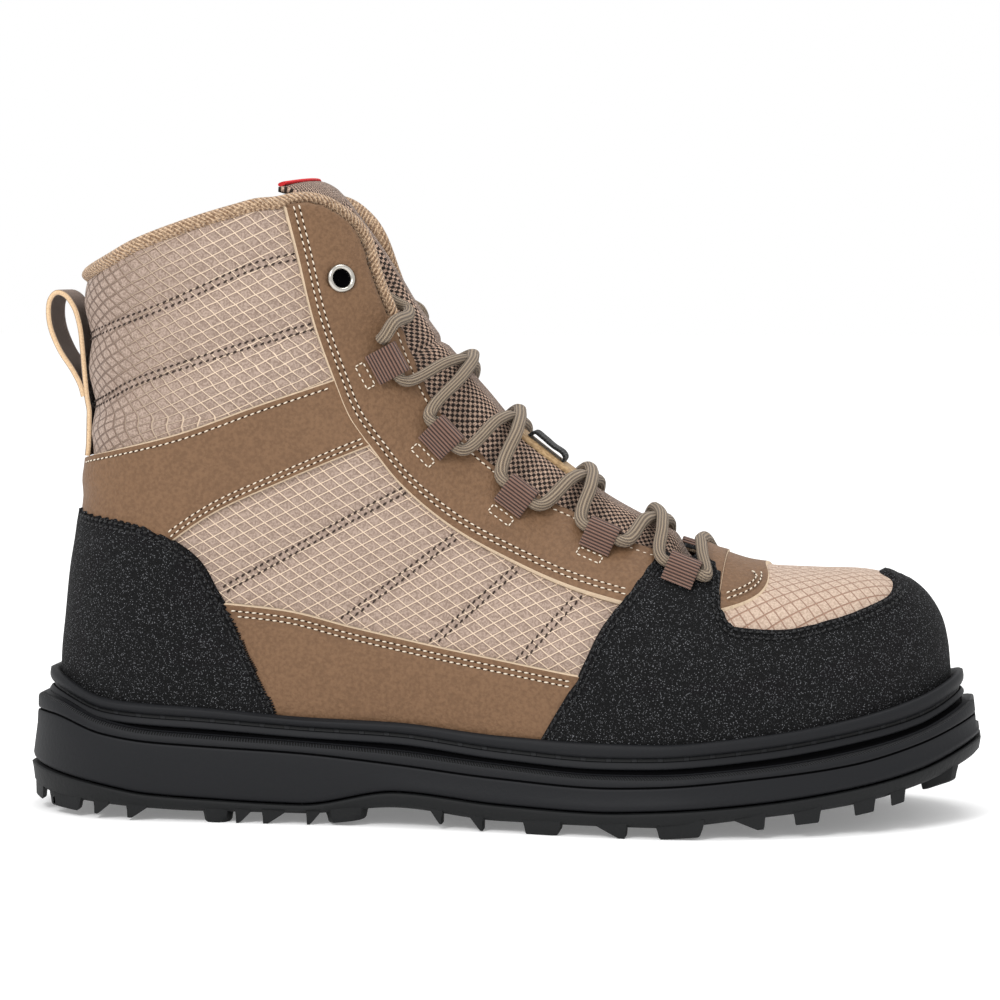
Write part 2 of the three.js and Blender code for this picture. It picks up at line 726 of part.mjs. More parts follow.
function vampPatchPiece() {
  const points = [...spots(vampPatch), ...beside(spots(capRight.slice(0, 5)), fit).reverse()];
  return skin.intersect(acrossPrism(points)).subtract(openings);
}

// Tongue

const tongueBase = 0.74;
const tongueTop = [
  { at: 0.354, rise: 0.985 },
  { at: 0.335, rise: 1.02 },
  { at: 0.31, rise: 1.04 },
];
const tongueRows = [...ridge.filter((r) => r.at < tongueBase + 0.04 && r.at > 0.38), ...tongueTop];
const tongueCurve = new THREE.CatmullRomCurve3(
  tongueRows.map((r) => spot([r.at, r.rise])).map(([x, z]) => new THREE.Vector3(x, 0, z)),
  false,
  "centripetal",
);

// Depth below a point of the ridge, along its normal, at which the form is as wide as y
function depthAt(p, y, grow) {
  let [low, high] = [-Math.min(grow, 0), 45];
  for (let i = 0; i < 26; i += 1) {
    const middle = (low + high) / 2;
    if (half(p.x - p.nx * middle, p.z - p.nz * middle, grow) < Math.abs(y)) low = middle;
    else high = middle;
  }
  return low;
}

function tongueFrame(t) {
  const p = tongueCurve.getPoint(t);
  const d = tongueCurve.getTangent(t);
  return { x: p.x, z: p.z, nx: d.z, nz: -d.x, tx: d.x, tz: d.z };
}

const throatBase = (throat[0][0] - 0.5) * soleLength;
function tongueDepth(p, y, free) {
  const high = ease(p.z, 0.7 * collarZ, 0.9 * collarZ);
  const under = depthAt(p, y, -(wall + tongueGap + laceWidth * high));
  const open = ease(throatBase - p.x, 6, 18);
  const spread = mix(18, 8, high);
  const raised = open * (1 - ease(Math.abs(y), spread * 0.35, spread));
  const arched = (y * y) / 90;
  const crown = mix(-tongueLift, wall, high);
  return mix(mix(under, crown, raised), arched, free);
}

function tongueSurface(t, y, lift) {
  const p = tongueFrame(t);
  const free = ease(t, 0.93, 1);
  const depth = tongueDepth(p, y, free) - lift;
  return [p.x - p.nx * depth, y, p.z - p.nz * depth];
}

// A plate that lies on the tongue, between two shares of its length
function onTongue(from, to, width, lift, thick, steps, columns) {
  const positions = [];
  const faces = [];
  for (const level of [lift, lift + thick]) {
    for (let i = 0; i <= steps; i += 1) {
      for (let j = 0; j <= columns; j += 1) {
        const y = (width / 2) * Math.sin(Math.PI * (j / columns - 0.5));
        positions.push(tongueSurface(mix(from, to, i / steps), y, level));
      }
    }
  }
  const row = columns + 1;
  const top = (steps + 1) * row;
  for (let i = 0; i < steps; i += 1) {
    for (let j = 0; j < columns; j += 1) {
      const a = i * row + j;
      faces.push([a, a + 1, a + 1 + row, a + row]);
      faces.push([a + top, a + row + top, a + 1 + row + top, a + 1 + top]);
    }
    for (const [a, b] of [[i * row + row, i * row], [i * row + columns, i * row + columns + row]]) {
      faces.push([a, a + top, b + top, b]);
    }
  }
  for (let j = 0; j < columns; j += 1) {
    for (const [a, b] of [[j, j + 1], [steps * row + j + 1, steps * row + j]]) {
      faces.push([a, a + top, b + top, b]);
    }
  }
  return solidOf(positions, faces);
}

// Shares of the tongue's length that its trims cover
const patchSpan = { from: 0.335, to: 0.405 };
const keeperSpan = { from: 0.355, to: 0.39, past: 0.02 };
const tabSpan = { from: 0.9, to: 1 };

const tongue = () => onTongue(0, 1, tongueWidth, -tongueThick, tongueThick, 10, 8);
const tonguePatch = () => onTongue(patchSpan.from, patchSpan.to, patchWidth, fit, patchThick, 4, 6);

const keeperWall = 0.7;
function tongueKeeper() {
  const { from, to, past } = keeperSpan;
  const base = fit + patchThick + fit;
  const high = 2 * webbing;
  const strap = onTongue(from, to, keeperWidth, base, high, 2, 6);
  const gapWidth = keeperWidth - 4 * keeperWall;
  const gap = onTongue(from - past, to + past, gapWidth, base + keeperWall, high - 2 * keeperWall, 2, 4);
  return strap.subtract(gap);
}

function tongueTab() {
  const [low, high] = [fit, fit + webbing];
  const corners = [[tabSpan.from, low], [tabSpan.to, low], [tabSpan.to, high], [tabSpan.from, high]];
  const points = corners.map(([t, lift]) => tongueSurface(t, 0, lift)).map(([x, , z]) => [x, z]);
  return sidePrism(points, -tabWidth / 2, tabWidth / 2);
}

// Binding, loops, eyelets and pull loop

function tube(points, radius, sides, steps) {
  const curve = new THREE.CatmullRomCurve3(points.map((p) => new THREE.Vector3(...p)), false, "centripetal");
  const shape = new THREE.Shape();
  for (let i = 0; i < sides; i += 1) {
    const angle = (2 * Math.PI * i) / sides;
    const corner = [radius * Math.cos(angle), radius * Math.sin(angle)];
    if (i === 0) shape.moveTo(...corner);
    else shape.lineTo(...corner);
  }
  return fromGeometry(new THREE.ExtrudeGeometry(shape, { steps, extrudePath: curve, bevelEnabled: false }));
}

function collarBinding() {
  const edge = [...throatLine.slice(10, -1), ...rimLine.slice().reverse()];
  const lift = bindingWidth / 2 + 2 * fit;
  const lifted = beside(edge, -lift);
  const sidePath = (side) =>
    edge.map(([x, z], i) => {
      const inX = Math.max(x, backAt(z) + wall / 2);
      const y = inX > x ? centre(inX, z) : centre(x, z) + side * half(x, z, -wall / 2);
      return [lifted[i][0] + (inX - x), y, lifted[i][1]];
    });
  const near = sidePath(-1);
  const far = sidePath(1).slice(0, -1).reverse();
  return tube([...near, ...far], bindingWidth / 2, 6, 28);
}

function laceLoop(index, side) {
  const frame = sideFrame(loopSpots[index], side, fit + overlayThick + 2 * fit);
  const [w, h] = [loopWidth / 2, loopHeight];
  const soft = h * 0.35;
  const outside = [[-w, 0], [w, 0], [w, h * 0.3], [w - soft * 2, h * 0.92], [-w + soft, h], [-w, h * 0.6]];
  const shape = new THREE.Shape(outside.map(([a, b]) => new THREE.Vector2(a, b)));
  // The lace passes through a hole in the loop's inner half
  const [left, right, low, high] = [-w + 1.5 * loopWall, w * 0.4, loopWall, h - loopWall];
  const hole = [[left, low], [right, low], [right, h * 0.74], [-w + soft * 1.6, high], [left, h * 0.55]];
  shape.holes.push(new THREE.Path(hole.map(([a, b]) => new THREE.Vector2(a, b))));
  const geometry = new THREE.ExtrudeGeometry(shape, { depth: loopLength, bevelEnabled: false });
  geometry.translate(0, 0, -loopLength / 2);
  const along = new THREE.Vector3().crossVectors(frame.away, frame.normal);
  const matrix = new THREE.Matrix4().makeBasis(frame.away, frame.normal, along);
  matrix.setPosition(frame.point);
  return fromGeometry(geometry.applyMatrix4(matrix));
}

function eyelet(side) {
  const frame = sideFrame(eyeletSpot, side, fit + overlayThick + fit);
  const [hole, barrel, flange] = [eyeletHole / 2, eyeletHole / 2 + eyeletWall, eyeletWidth / 2];
  const deep = -(wall + overlayThick + fit);
  const crest = [barrel + 0.6 * eyeletWall, eyeletWall];
  const lip = [hole, 0.6 * eyeletWall];
  const profile = [[hole, deep], [barrel, deep], [barrel, 0], [flange, 0], crest, lip, [hole, deep]];
  const geometry = new THREE.LatheGeometry(profile.map(([r, h]) => new THREE.Vector2(r, h)), 12);
  return fromGeometry(placed(geometry, frame));
}

// The strap is sewn up the heel and stands off it in a loop, whose outer leg runs through these
// places behind the heel's tip and below the loop's head
const pull = { foot: 0.475, head: 0.79, stand: 3.2, standFrom: 0.45, crown: 1.5 };
const pullLeg = [
  { behind: 6.6, below: 4.5 },
  { behind: 6.2, below: 11 },
  { behind: 1.2, below: 19 },
  { behind: -5.2, below: 30 },
  { behind: -7, below: 36 },
];

function pullLoop() {
  const foot = heelStack + pull.foot * upperHeight;
  const head = heelStack + pull.head * upperHeight;
  const inside = [];
  const outside = [];
  const steps = 9;
  for (let i = 0; i <= steps; i += 1) {
    const z = mix(foot, head, i / steps);
    const skinX = backAt(z) - fit;
    const stand = pull.stand * ease(z, mix(foot, head, pull.standFrom), head);
    inside.push([skinX - stand, z]);
    outside.push([skinX - stand - webbing, z]);
  }
  const loopTop = [-tip - 2 * webbing, head + pull.crown];
  const loopBack = pullLeg.map((p) => [-tip - p.behind, head - p.below]);
  const lowJoin = outside.findIndex(([, z]) => z > loopBack.at(-1)[1]);
  const shoulder = [inside.at(-1)[0] - pull.crown, head + pull.crown];
  const shell = [...inside, shoulder, loopTop, ...loopBack, ...outside.slice(0, lowJoin).reverse()];
  const slim = beside([loopTop, ...loopBack], webbing);
  const hole = [...outside.slice(lowJoin + 1), ...slim.slice(0, -2)];
  const shape = new THREE.Shape(shell.map(([x, z]) => new THREE.Vector2(x, z)));
  shape.holes.push(new THREE.Path(hole.map(([x, z]) => new THREE.Vector2(x, z))));
  const geometry = new THREE.ExtrudeGeometry(shape, { depth: pullWidth, bevelEnabled: false });
  geometry.rotateX(Math.PI / 2);
  geometry.translate(0, pullWidth / 2, 0);
  return fromGeometry(geometry).subtract(skinOut);
}

// Lace

const laceLift = laceWidth / 2 + 4 * fit;

// A point of a lace run: over the tongue in the middle, over the eyestay at the sides
function lacePoint(share, y) {
  const p = ridgeAt(share);
  const over = depthAt(p, Math.max(Math.abs(y), 1), fit + overlayThick);
  const depth = mix(-tongueLift, over, ease(Math.abs(y), 10, 22)) - laceLift;
  return [p.x - p.nx * depth, y, p.z - p.nz * depth];
}

function mouth(index, side, end) {
  const frame = sideFrame(loopSpots[index], side, fit + overlayThick + 2 * fit + loopHeight / 2);
  const reach = loopLength / 2 + laceWidth * 0.6;
  const p = frame.point.addScaledVector(frame.up, end * reach);
  p.addScaledVector(frame.away, -loopWidth * 0.14);
  return [p.x, p.y, p.z];
}

function nearestShare([x, , z]) {
  let best = 0;
  let least = Infinity;
  for (let i = 0; i <= 400; i += 1) {
    const p = ridgeAt(i / 400);
    const d = Math.hypot(p.x - x, p.z - z);
    if (d < least) [best, least] = [i / 400, d];
  }
  return best;
}

function laceRun(index, side) {
  const start = mouth(index, side, 1);
  const end = mouth(index + 1, -side, -1);
  const [from, to] = [nearestShare(start), nearestShare(end)];
  const points = [start];
  for (const t of [0.2, 0.35, 0.5, 0.65, 0.8]) {
    points.push(lacePoint(mix(from, to, t), mix(start[1], end[1], t)));
  }
  points.push(end);
  return tube(points, laceWidth / 2, 6, 6);
}

const laceCrossing = (index) => laceRun(index, -1).add(laceRun(index, 1));

function laceBar() {
  const start = mouth(0, -1, -1);
  const end = mouth(0, 1, -1);
  const share = nearestShare(start);
  const points = [start];
  for (const t of [0.15, 0.3, 0.5, 0.7, 0.85]) points.push(lacePoint(share, mix(start[1], end[1], t)));
  points.push(end);
  return tube(points, laceWidth / 2, 6, 6);
}

// The end goes over the flap's bound edge and back behind the flap, to the empty eyelet
const laceEndRoute = [
  { at: 0.3985, rise: 0.738, lift: 5.4 },
  { at: 0.408, rise: 0.765, lift: 6.6 },
  { at: 0.421, rise: 0.785, across: 17 },
  { at: 0.413, rise: 0.802, across: 12.1 },
  { at: 0.395, rise: 0.81, across: 11.8 },
  { at: 0.372, rise: 0.832, across: 15.3 },
  { at: 0.354, rise: 0.85, across: 19.3 },
];

function laceEnd(side) {
  const points = [mouth(loopSpots.length - 1, side, 1)];
  for (const row of laceEndRoute) {
    const [x, z] = spot([row.at, row.rise]);
    const y = row.across ? side * row.across : centre(x, z) + side * half(x, z, row.lift);
    points.push([x, y, z]);
  }
  return tube(points, laceWidth / 2, 6, 9);
}

// Assembly

const boot = new THREE.Group();

function piece(name, solid, finish) {
  const mesh = solid.getMesh();
  const geometry = new THREE.BufferGeometry();
  geometry.setAttribute("position", new THREE.BufferAttribute(Float32Array.from(mesh.vertProperties), 3));
  geometry.setIndex(new THREE.BufferAttribute(Uint32Array.from(mesh.triVerts), 1));
  geometry.computeVertexNormals();
  const part = new THREE.Mesh(geometry, new THREE.MeshStandardMaterial(finishes[finish]));
  part.name = name;
  boot.add(part);
}

piece("outsole", outsole(), "rubber");
piece("midsole", midsole(), "rubber");
piece("welt", welt(), "rubber");
piece("insole", insole(), "blackFabric");
piece("upper", upper(), "ripstop");
piece("tongue", tongue(), "mesh");
piece("toe_cap", toeCap(), "blackFabric");
piece("heel_counter", heelCounter(), "blackFabric");
piece("ankle_band", ankleBand(), "leather");
piece("vamp_patch", vampPatchPiece(), "leather");
piece("tongue_patch", tonguePatch(), "tan");
piece("tongue_keeper", tongueKeeper(), "webbing");
piece("tongue_tab", tongueTab(), "red");
piece("collar_binding", collarBinding(), "knit");
piece("pull_loop", pullLoop(), "webbing");
for (const [side, word] of [[-1, "lateral"], [1, "medial"]]) {
  piece("eyestay_" + word, eyestay(side), "leather");
  piece("quarter_band_" + word, lowBand(side), "leather");
  piece("eyelet_" + word, eyelet(side), "metal");
  piece("lace_end_" + word, laceEnd(side), "webbing");
  loopSpots.forEach((_, i) => {
    piece("lace_loop_" + word + "_" + (i + 1), laceLoop(i, side), "webbing");
  });
}
for (let i = 0; i + 1 < loopSpots.length; i += 1) {
  piece("lace_crossing_" + (i + 1), laceCrossing(i), "webbing");
}
piece("lace_bar", laceBar(), "webbing");

export default boot;
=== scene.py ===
"""Right wading boot: the looks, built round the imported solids.

Lengths are millimetres until a mesh is made. +X points to the toe, +Z up, -Y to the outer side.
"""
import math

import bpy
import numpy as np
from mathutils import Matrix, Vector


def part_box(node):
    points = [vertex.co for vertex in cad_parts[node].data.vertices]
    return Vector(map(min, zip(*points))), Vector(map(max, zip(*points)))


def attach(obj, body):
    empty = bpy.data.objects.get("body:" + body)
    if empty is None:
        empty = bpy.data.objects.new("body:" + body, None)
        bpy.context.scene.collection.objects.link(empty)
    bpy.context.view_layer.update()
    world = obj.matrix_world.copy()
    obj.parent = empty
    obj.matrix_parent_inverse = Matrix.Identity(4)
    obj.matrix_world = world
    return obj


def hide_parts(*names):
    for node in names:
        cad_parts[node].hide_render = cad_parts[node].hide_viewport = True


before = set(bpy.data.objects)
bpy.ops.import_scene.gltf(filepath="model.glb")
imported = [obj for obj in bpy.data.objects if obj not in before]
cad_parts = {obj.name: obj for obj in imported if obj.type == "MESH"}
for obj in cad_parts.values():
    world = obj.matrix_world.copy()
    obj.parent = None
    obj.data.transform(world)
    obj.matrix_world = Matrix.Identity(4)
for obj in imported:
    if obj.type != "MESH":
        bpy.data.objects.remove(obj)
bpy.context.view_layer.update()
METRES = 0.001
OUTER, INNER = -1, 1
SIDES = {OUTER: "lateral", INNER: "medial"}
rng = np.random.default_rng(7)

# Sizes of the boot, as in the solids
sole_low, sole_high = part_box("outsole")
SOLE = (sole_high.x - sole_low.x) / METRES
BALL, HEEL, STACK, HEIGHT = 119, 85, 38, 170
UPPER_INSET, ANKLE, COLLAR, WALL = 11.5, 72, 82, 2.6
SIDE_SHARE = 0.75
LUG_DEPTH = 3.5
TIP = SOLE / 2 - UPPER_INSET
HEEL_LONG, HEEL_POWER = 0.15, 2.1
TOE_LONG, TOE_POWER = 0.34, 2.25
BULGE_HIGH = 34
# How far the form takes to be full: from the heel, low and high on the shaft, and from the ridge
HEEL_REACH, RIDGE_REACH = (46, 34), 50
LACE_WIDTH, LACE_THICK = 4.4, 3.5
LOOP_LONG = 10.5
PULL_WIDE, WEBBING = 20, 1.8
# Plan of the sole: share of the length, spread from the heel's width to the ball's, and sideways shift
PLAN = np.array([
    [0.0, -0.12, 0], [0.12, 0, 0], [0.25, 0, -0.01], [0.38, 0.03, -0.03], [0.5, 0.32, -0.045],
    [0.62, 0.79, -0.033], [0.72, 1, 0.001], [0.84, 0.97, 0.062], [1, 0.79, 0.15],
])
# Share of the length, then the tread, groove, band, ledge, bead and feather as shares of the stack
LEVELS = np.array([
    [0.0, 0.224, 0.436, 0.895, 1.04, 1.17, 1.31],
    [0.04, 0.163, 0.375, 0.88, 1.008, 1.1, 1.21],
    [0.1, 0.132, 0.297, 0.747, 0.85, 0.953, 1.037],
    [0.15, 0.108, 0.232, 0.689, 0.782, 0.921, 1.005],
    [0.2, 0.0921, 0.205, 0.663, 0.755, 0.9, 0.984],
    [0.31, 0.0921, 0.174, 0.618, 0.705, 0.839, 0.916],
    [0.41, 0.166, 0.303, 0.542, 0.65, 0.803, 0.887],
    [0.52, 0.0921, 0.232, 0.458, 0.566, 0.708, 0.808],
    [0.62, 0.0921, 0.208, 0.42, 0.518, 0.666, 0.784],
    [0.67, 0.0921, 0.226, 0.434, 0.524, 0.674, 0.782],
    [0.77, 0.168, 0.287, 0.505, 0.584, 0.742, 0.847],
    [0.87, 0.258, 0.395, 0.603, 0.7, 0.866, 0.974],
    [0.935, 0.382, 0.513, 0.737, 0.829, 0.987, 1.118],
    [1.0, 0.579, 0.737, 0.947, 1.092, 1.263, 1.382],
])
LEVEL_NAMES = ["tread", "groove", "band", "ledge", "bead", "feather"]
INSET = {"tread": 1.8, "groove": 0, "band": 2.2, "ledge": 3.4, "cove": 6.4, "bead": 7.2}
# Top and front line, toe first: share of the length, share of the height above the feather line
RIDGE = [
    (0.964, 0.012), (0.961, 0.07), (0.954, 0.124), (0.938, 0.183), (0.916, 0.227), (0.888, 0.257),
    (0.823, 0.284), (0.767, 0.305), (0.705, 0.354), (0.661, 0.398), (0.615, 0.444), (0.578, 0.491),
    (0.519, 0.573), (0.48, 0.632), (0.438, 0.722), (0.411, 0.811), (0.396, 0.868), (0.367, 0.978),
    (0.335, 1.09),
]
# Line of the heel: share of the height, and share of the lean
HEEL_LEAN = 10
BACK = np.array([
    [-0.02, 0], [0.08, 0.07], [0.16, 0.23], [0.25, 0.41], [0.32, 0.61], [0.39, 0.76], [0.45, 0.92],
    [0.5, 1.03], [0.58, 1.06], [0.72, 0.95], [0.84, 0.85], [1.09, 0.65],
])

# Edges of the panels and rows of stitches, side view
THROAT = [(65, 86.5), (52.5, 89.7), (41.9, 93.7), (28.7, 100.7), (14.2, 107.7), (-2.6, 119.7),
          (-10.3, 127.1), (-18.7, 136.5), (-24.8, 147.9), (-29.9, 160.1), (-32.2, 168),
          (-35.2, 174.6), (-37.9, 182), (-41.6, 193), (-45.6, 199)]
RIM = [(-146, 178.6), (-127.4, 186), (-117.6, 190.8), (-100.5, 197.2), (-84.2, 202.2),
       (-72.5, 205.2), (-69.3, 204.9), (-65.8, 206.2), (-57, 206.3), (-50.9, 203.3)]
EYESTAY_REAR = [(-70, 213), (-68.3, 205.9), (-63.1, 186.9), (-57.6, 164.4), (-51.5, 146.8),
                (-45.9, 133.1), (-38.4, 122.6), (-29.1, 111.2), (-12.2, 97.4), (9, 85.9),
                (25.9, 78.8), (46.3, 73), (60, 70)]
BAND_TOP = [(-165, 113), (-142.6, 116.7), (-135.7, 119.4), (-102.2, 127.9), (-76.7, 137),
            (-51.5, 145.5), (-42, 149)]
BAND_LOW = [(-36, 125), (-45.5, 121.3), (-68.4, 111.7), (-89.8, 102), (-103.7, 92.9), (-112, 86)]
COUNTER = [(-165, 103), (-145.2, 102.7), (-137.2, 100.6), (-116.2, 97.6), (-103.7, 91.9),
           (-95.4, 85.3), (-89.5, 75.1), (-83.5, 65.3), (-77.4, 52.5), (-69.6, 36.3), (-64, 24)]
LOW_BAND = [(-95, 72.5), (-85.8, 71.8), (-64.7, 69.5), (-45.5, 64.9), (-19.3, 59.6), (10.6, 54.5),
            (30.2, 51.4), (40, 50)]
TOWER = [(14, 22), (18.2, 30.3), (30.2, 49.7), (37.9, 66), (45.8, 76.4), (53.8, 87.7)]
RAND = [(64.5, 88.6), (72.5, 84.8), (75.2, 81.4), (76.6, 71.5), (80, 66.6), (86.4, 65.4),
        (97.6, 65.2), (112.2, 68.2), (123.1, 71.9), (130.4, 75.7), (131, 79), (126.6, 81.5)]
VAMP_PATCH = [(84, 86.5), (88.2, 84.6), (90.5, 81.8), (90.5, 78.8), (88.6, 76), (84.5, 73.6),
              (77.5, 71.5), (70, 70)]
COLLAR_SEAMS = [
    [(-165, 150), (-141.6, 157.9), (-108.4, 169), (-92.9, 175.5), (-76.1, 182.7), (-60, 186.5)],
    [(-165, 129), (-133.6, 137.4), (-120.2, 143.5), (-101.8, 149.7), (-76.3, 157.6), (-54, 164)],
]
SIDE_SEAMS = [
    [(-92, 73), (-87.8, 76.1), (-62.1, 90.7), (-45.5, 100.1), (-24, 111.6)],
    [(-51, 65), (-47.9, 66.8), (-9.9, 95.4), (-6, 98)],
    [(-21, 58), (-17.6, 60.6), (10.3, 85.6), (13, 88)],
    [(7, 51), (10.6, 54.8), (30.6, 77.3), (33, 80)],
]
LOOP_SPOTS = [(61.9, 81.2), (35.7, 92.4), (7.7, 106.2), (-17.1, 125.7), (-35.1, 150.4)]
EYELET_SPOT = (-49.3, 178.4)
EYELET_WIDE, EYELET_HOLE = 9.6, 5.9


# Numbers along tables

def monotone(xs, ys):
    step = np.diff(xs)
    slope = np.diff(ys) / step
    tangent = np.zeros(len(xs))
    tangent[0], tangent[-1] = slope[0], slope[-1]
    for i in range(1, len(xs) - 1):
        if slope[i - 1] * slope[i] > 0:
            a = (2 * step[i] + step[i - 1]) / slope[i - 1]
            b = (step[i] + 2 * step[i - 1]) / slope[i]
            tangent[i] = 3 * (step[i - 1] + step[i]) / (a + b)

    def read(value):
        v = np.clip(value, xs[0], xs[-1])
        i = np.clip(np.searchsorted(xs, v, side="right") - 1, 0, len(xs) - 2)
        t = (v - xs[i]) / step[i]
        ends = (2 * t**3 - 3 * t**2 + 1) * ys[i] + (3 * t**2 - 2 * t**3) * ys[i + 1]
        bend = (t**3 - 2 * t**2 + t) * tangent[i] + (t**3 - t**2) * tangent[i + 1]
        return ends + bend * step[i]

    return read


def ease(v, start, end):
    t = np.clip((np.asarray(v, float) - start) / (end - start), 0, 1)
    return t * t * (3 - 2 * t)


def mix(a, b, t):
    return a + (b - a) * t


def rounded(u, power):
    return (1 - (1 - np.clip(u, 0, 1)) ** power) ** (1 / power)


def unit(v):
    return v / np.maximum(np.linalg.norm(v, axis=-1, keepdims=True), 1e-9)


def curve_through(points, per_span=8):
    """Centripetal curve through points, as a dense line."""
    p = np.asarray(points, float)
    p = np.vstack([2 * p[0] - p[1], p, 2 * p[-1] - p[-2]])
    line = []
    for i in range(1, len(p) - 2):
        a, b, c, d = p[i - 1:i + 3]
        t0 = 0.0
        t1 = t0 + np.linalg.norm(b - a) ** 0.5
        t2 = t1 + np.linalg.norm(c - b) ** 0.5
        t3 = t2 + np.linalg.norm(d - c) ** 0.5
        t = np.linspace(t1, t2, per_span, endpoint=False)[:, None]
        ab = (t1 - t) / (t1 - t0) * a + (t - t0) / (t1 - t0) * b
        bc = (t2 - t) / (t2 - t1) * b + (t - t1) / (t2 - t1) * c
        cd = (t3 - t) / (t3 - t2) * c + (t - t2) / (t3 - t2) * d
        abc = (t2 - t) / (t2 - t0) * ab + (t - t0) / (t2 - t0) * bc
        bcd = (t3 - t) / (t3 - t1) * bc + (t - t1) / (t3 - t1) * cd
        line.append((t2 - t) / (t2 - t1) * abc + (t - t1) / (t2 - t1) * bcd)
    line.append(p[-2][None])
    return np.vstack(line)


def lengths(line):
    return np.r_[0, np.cumsum(np.linalg.norm(np.diff(line, axis=0), axis=1))]


def resample(line, count):
    """Even points along a line."""
    s = lengths(line)
    even = np.linspace(0, s[-1], count)
    return np.stack([np.interp(even, s, line[:, k]) for k in range(line.shape[1])], 1)


def beside(line, by):
    """The line moved sideways, to its left as it runs."""
    d = unit(np.gradient(line, axis=0))
    return line + np.reshape(by, (-1, 1)) * np.stack([-d[:, 1], d[:, 0]], 1)


# Plan and levels of the sole

spread_at = monotone(PLAN[:, 0], PLAN[:, 1])
shift_at = monotone(PLAN[:, 0], PLAN[:, 2])
level_at = {n: monotone(LEVELS[:, 0], LEVELS[:, i + 1]) for i, n in enumerate(LEVEL_NAMES)}


def level(name, x):
    return level_at[name](x / SOLE + 0.5) * STACK


def shift(t):
    return shift_at(t) * BALL / 2


def half_plan(t):
    return mix(HEEL, BALL, spread_at(t)) / 2


def inset_share(x, by):
    return (x + SOLE / 2 - by) / (SOLE - 2 * by)


def outline(x, by, side):
    t = np.clip(inset_share(x, by), 0, 1)
    ends = rounded(t / HEEL_LONG, HEEL_POWER) * rounded((1 - t) / TOE_LONG, TOE_POWER)
    return shift(t) + side * (half_plan(t) - by * SIDE_SHARE) * ends


# The form of the last: y = centre +- half over its side view

def spot(at, rise):
    x = (at - 0.5) * SOLE
    return x, float(level("feather", x)) + rise * HEIGHT


RIDGE_ROWS = np.array([spot(*r) for r in RIDGE])
RIDGE_ROWS[0, 0] = TIP
PER_ROW = 10
ridge_line = curve_through(RIDGE_ROWS, PER_ROW)
back_lean = monotone(BACK[:, 0], BACK[:, 1])
ANKLE_Z, COLLAR_Z = STACK + 0.42 * HEIGHT, STACK + 0.98 * HEIGHT
WAIST_Z, SHAFT_Z = STACK + 0.07 * HEIGHT, STACK + 0.44 * HEIGHT


def back_at(z):
    return -TIP + HEEL_LEAN * back_lean((z - STACK) / HEIGHT)


def ridge_top(x, grow=0):
    moved = x - grow * ease(x, 0.38 * SOLE, TIP)
    return np.interp(moved, ridge_line[::-1, 0], ridge_line[::-1, 1]) + grow


# A raster of 1 mm cells over the side view
MAP_HALF, MAP_HIGH = 180, 250
map_x, map_z = np.meshgrid(np.arange(-MAP_HALF, MAP_HALF + 1.0), np.arange(MAP_HIGH + 1.0), indexing="ij")
ENDLESS = 1e9


def from_segment(a, b, x, z):
    """Offsets of places in the side view from the nearest point of a segment."""
    dx, dz = b - a
    t = np.clip(((x - a[0]) * dx + (z - a[1]) * dz) / (dx * dx + dz * dz), 0, 1)
    return x - a[0] - t * dx, z - a[1] - t * dz


def ridge_depth_map():
    """Distance under the ridge over the raster, positive inside."""
    best, sign = np.full(map_x.shape, ENDLESS), np.ones(map_x.shape)
    for a, b in zip(ridge_line[:-1], ridge_line[1:]):
        px, pz = from_segment(a, b, map_x, map_z)
        dx, dz = b - a
        d = px * px + pz * pz
        near = d < best
        best = np.where(near, d, best)
        sign = np.where(near, np.where(dx * pz - dz * px >= 0, 1, -1), sign)
    return np.sqrt(best) * sign


depth_map = ridge_depth_map()


def sample(raster, x, z):
    u, v = np.clip(x + MAP_HALF, 0, 2 * MAP_HALF - 0.01), np.clip(z, 0, MAP_HIGH - 0.01)
    i, j = u.astype(int), v.astype(int)
    fu, fv = u - i, v - j
    low = mix(raster[i, j], raster[i + 1, j], fu)
    return mix(low, mix(raster[i, j + 1], raster[i + 1, j + 1], fu), fv)


def shaft_share(x, z):
    return ease(z, WAIST_Z, SHAFT_Z) * (1 - ease(x, 0.03 * SOLE, 0.25 * SOLE))


def centre(x, z):
    return shift(np.clip(inset_share(x, UPPER_INSET), 0, 1)) * (1 - shaft_share(x, z))


def half(x, z, grow=0.0):
    x, z = np.asarray(x, float), np.asarray(z, float)
    t = inset_share(x, UPPER_INSET)
    feather = level("feather", x)
    bulge = np.sin(np.pi * np.clip((z - feather) / BULGE_HIGH, 0, 1))
    low = half_plan(np.clip(t, 0, 1)) - UPPER_INSET * SIDE_SHARE + bulge
    high = mix(ANKLE, COLLAR, ease(z, ANKLE_Z, COLLAR_Z)) / 2
    width = mix(low, high, shaft_share(x, z)) + grow
    toe = rounded((1 - t + grow / (2 * TIP)) / TOE_LONG, TOE_POWER)
    heel_reach = mix(*HEEL_REACH, ease(z, WAIST_Z, COLLAR_Z)) + grow
    heel = rounded((x - back_at(z) + grow) / heel_reach, HEEL_POWER)
    over = ridge_top(x, grow)
    toeward = ease(x, 0.18 * SOLE, 0.3 * SOLE)
    depth = mix(sample(depth_map, x, z) + grow, over - z, toeward)
    reach = np.maximum(mix(RIDGE_REACH + grow, over - feather, toeward), 4)
    power = 2 + 0.3 * toeward + 0.4 * ease(z, ANKLE_Z, COLLAR_Z)
    return width * toe * heel * rounded(depth / reach, power)


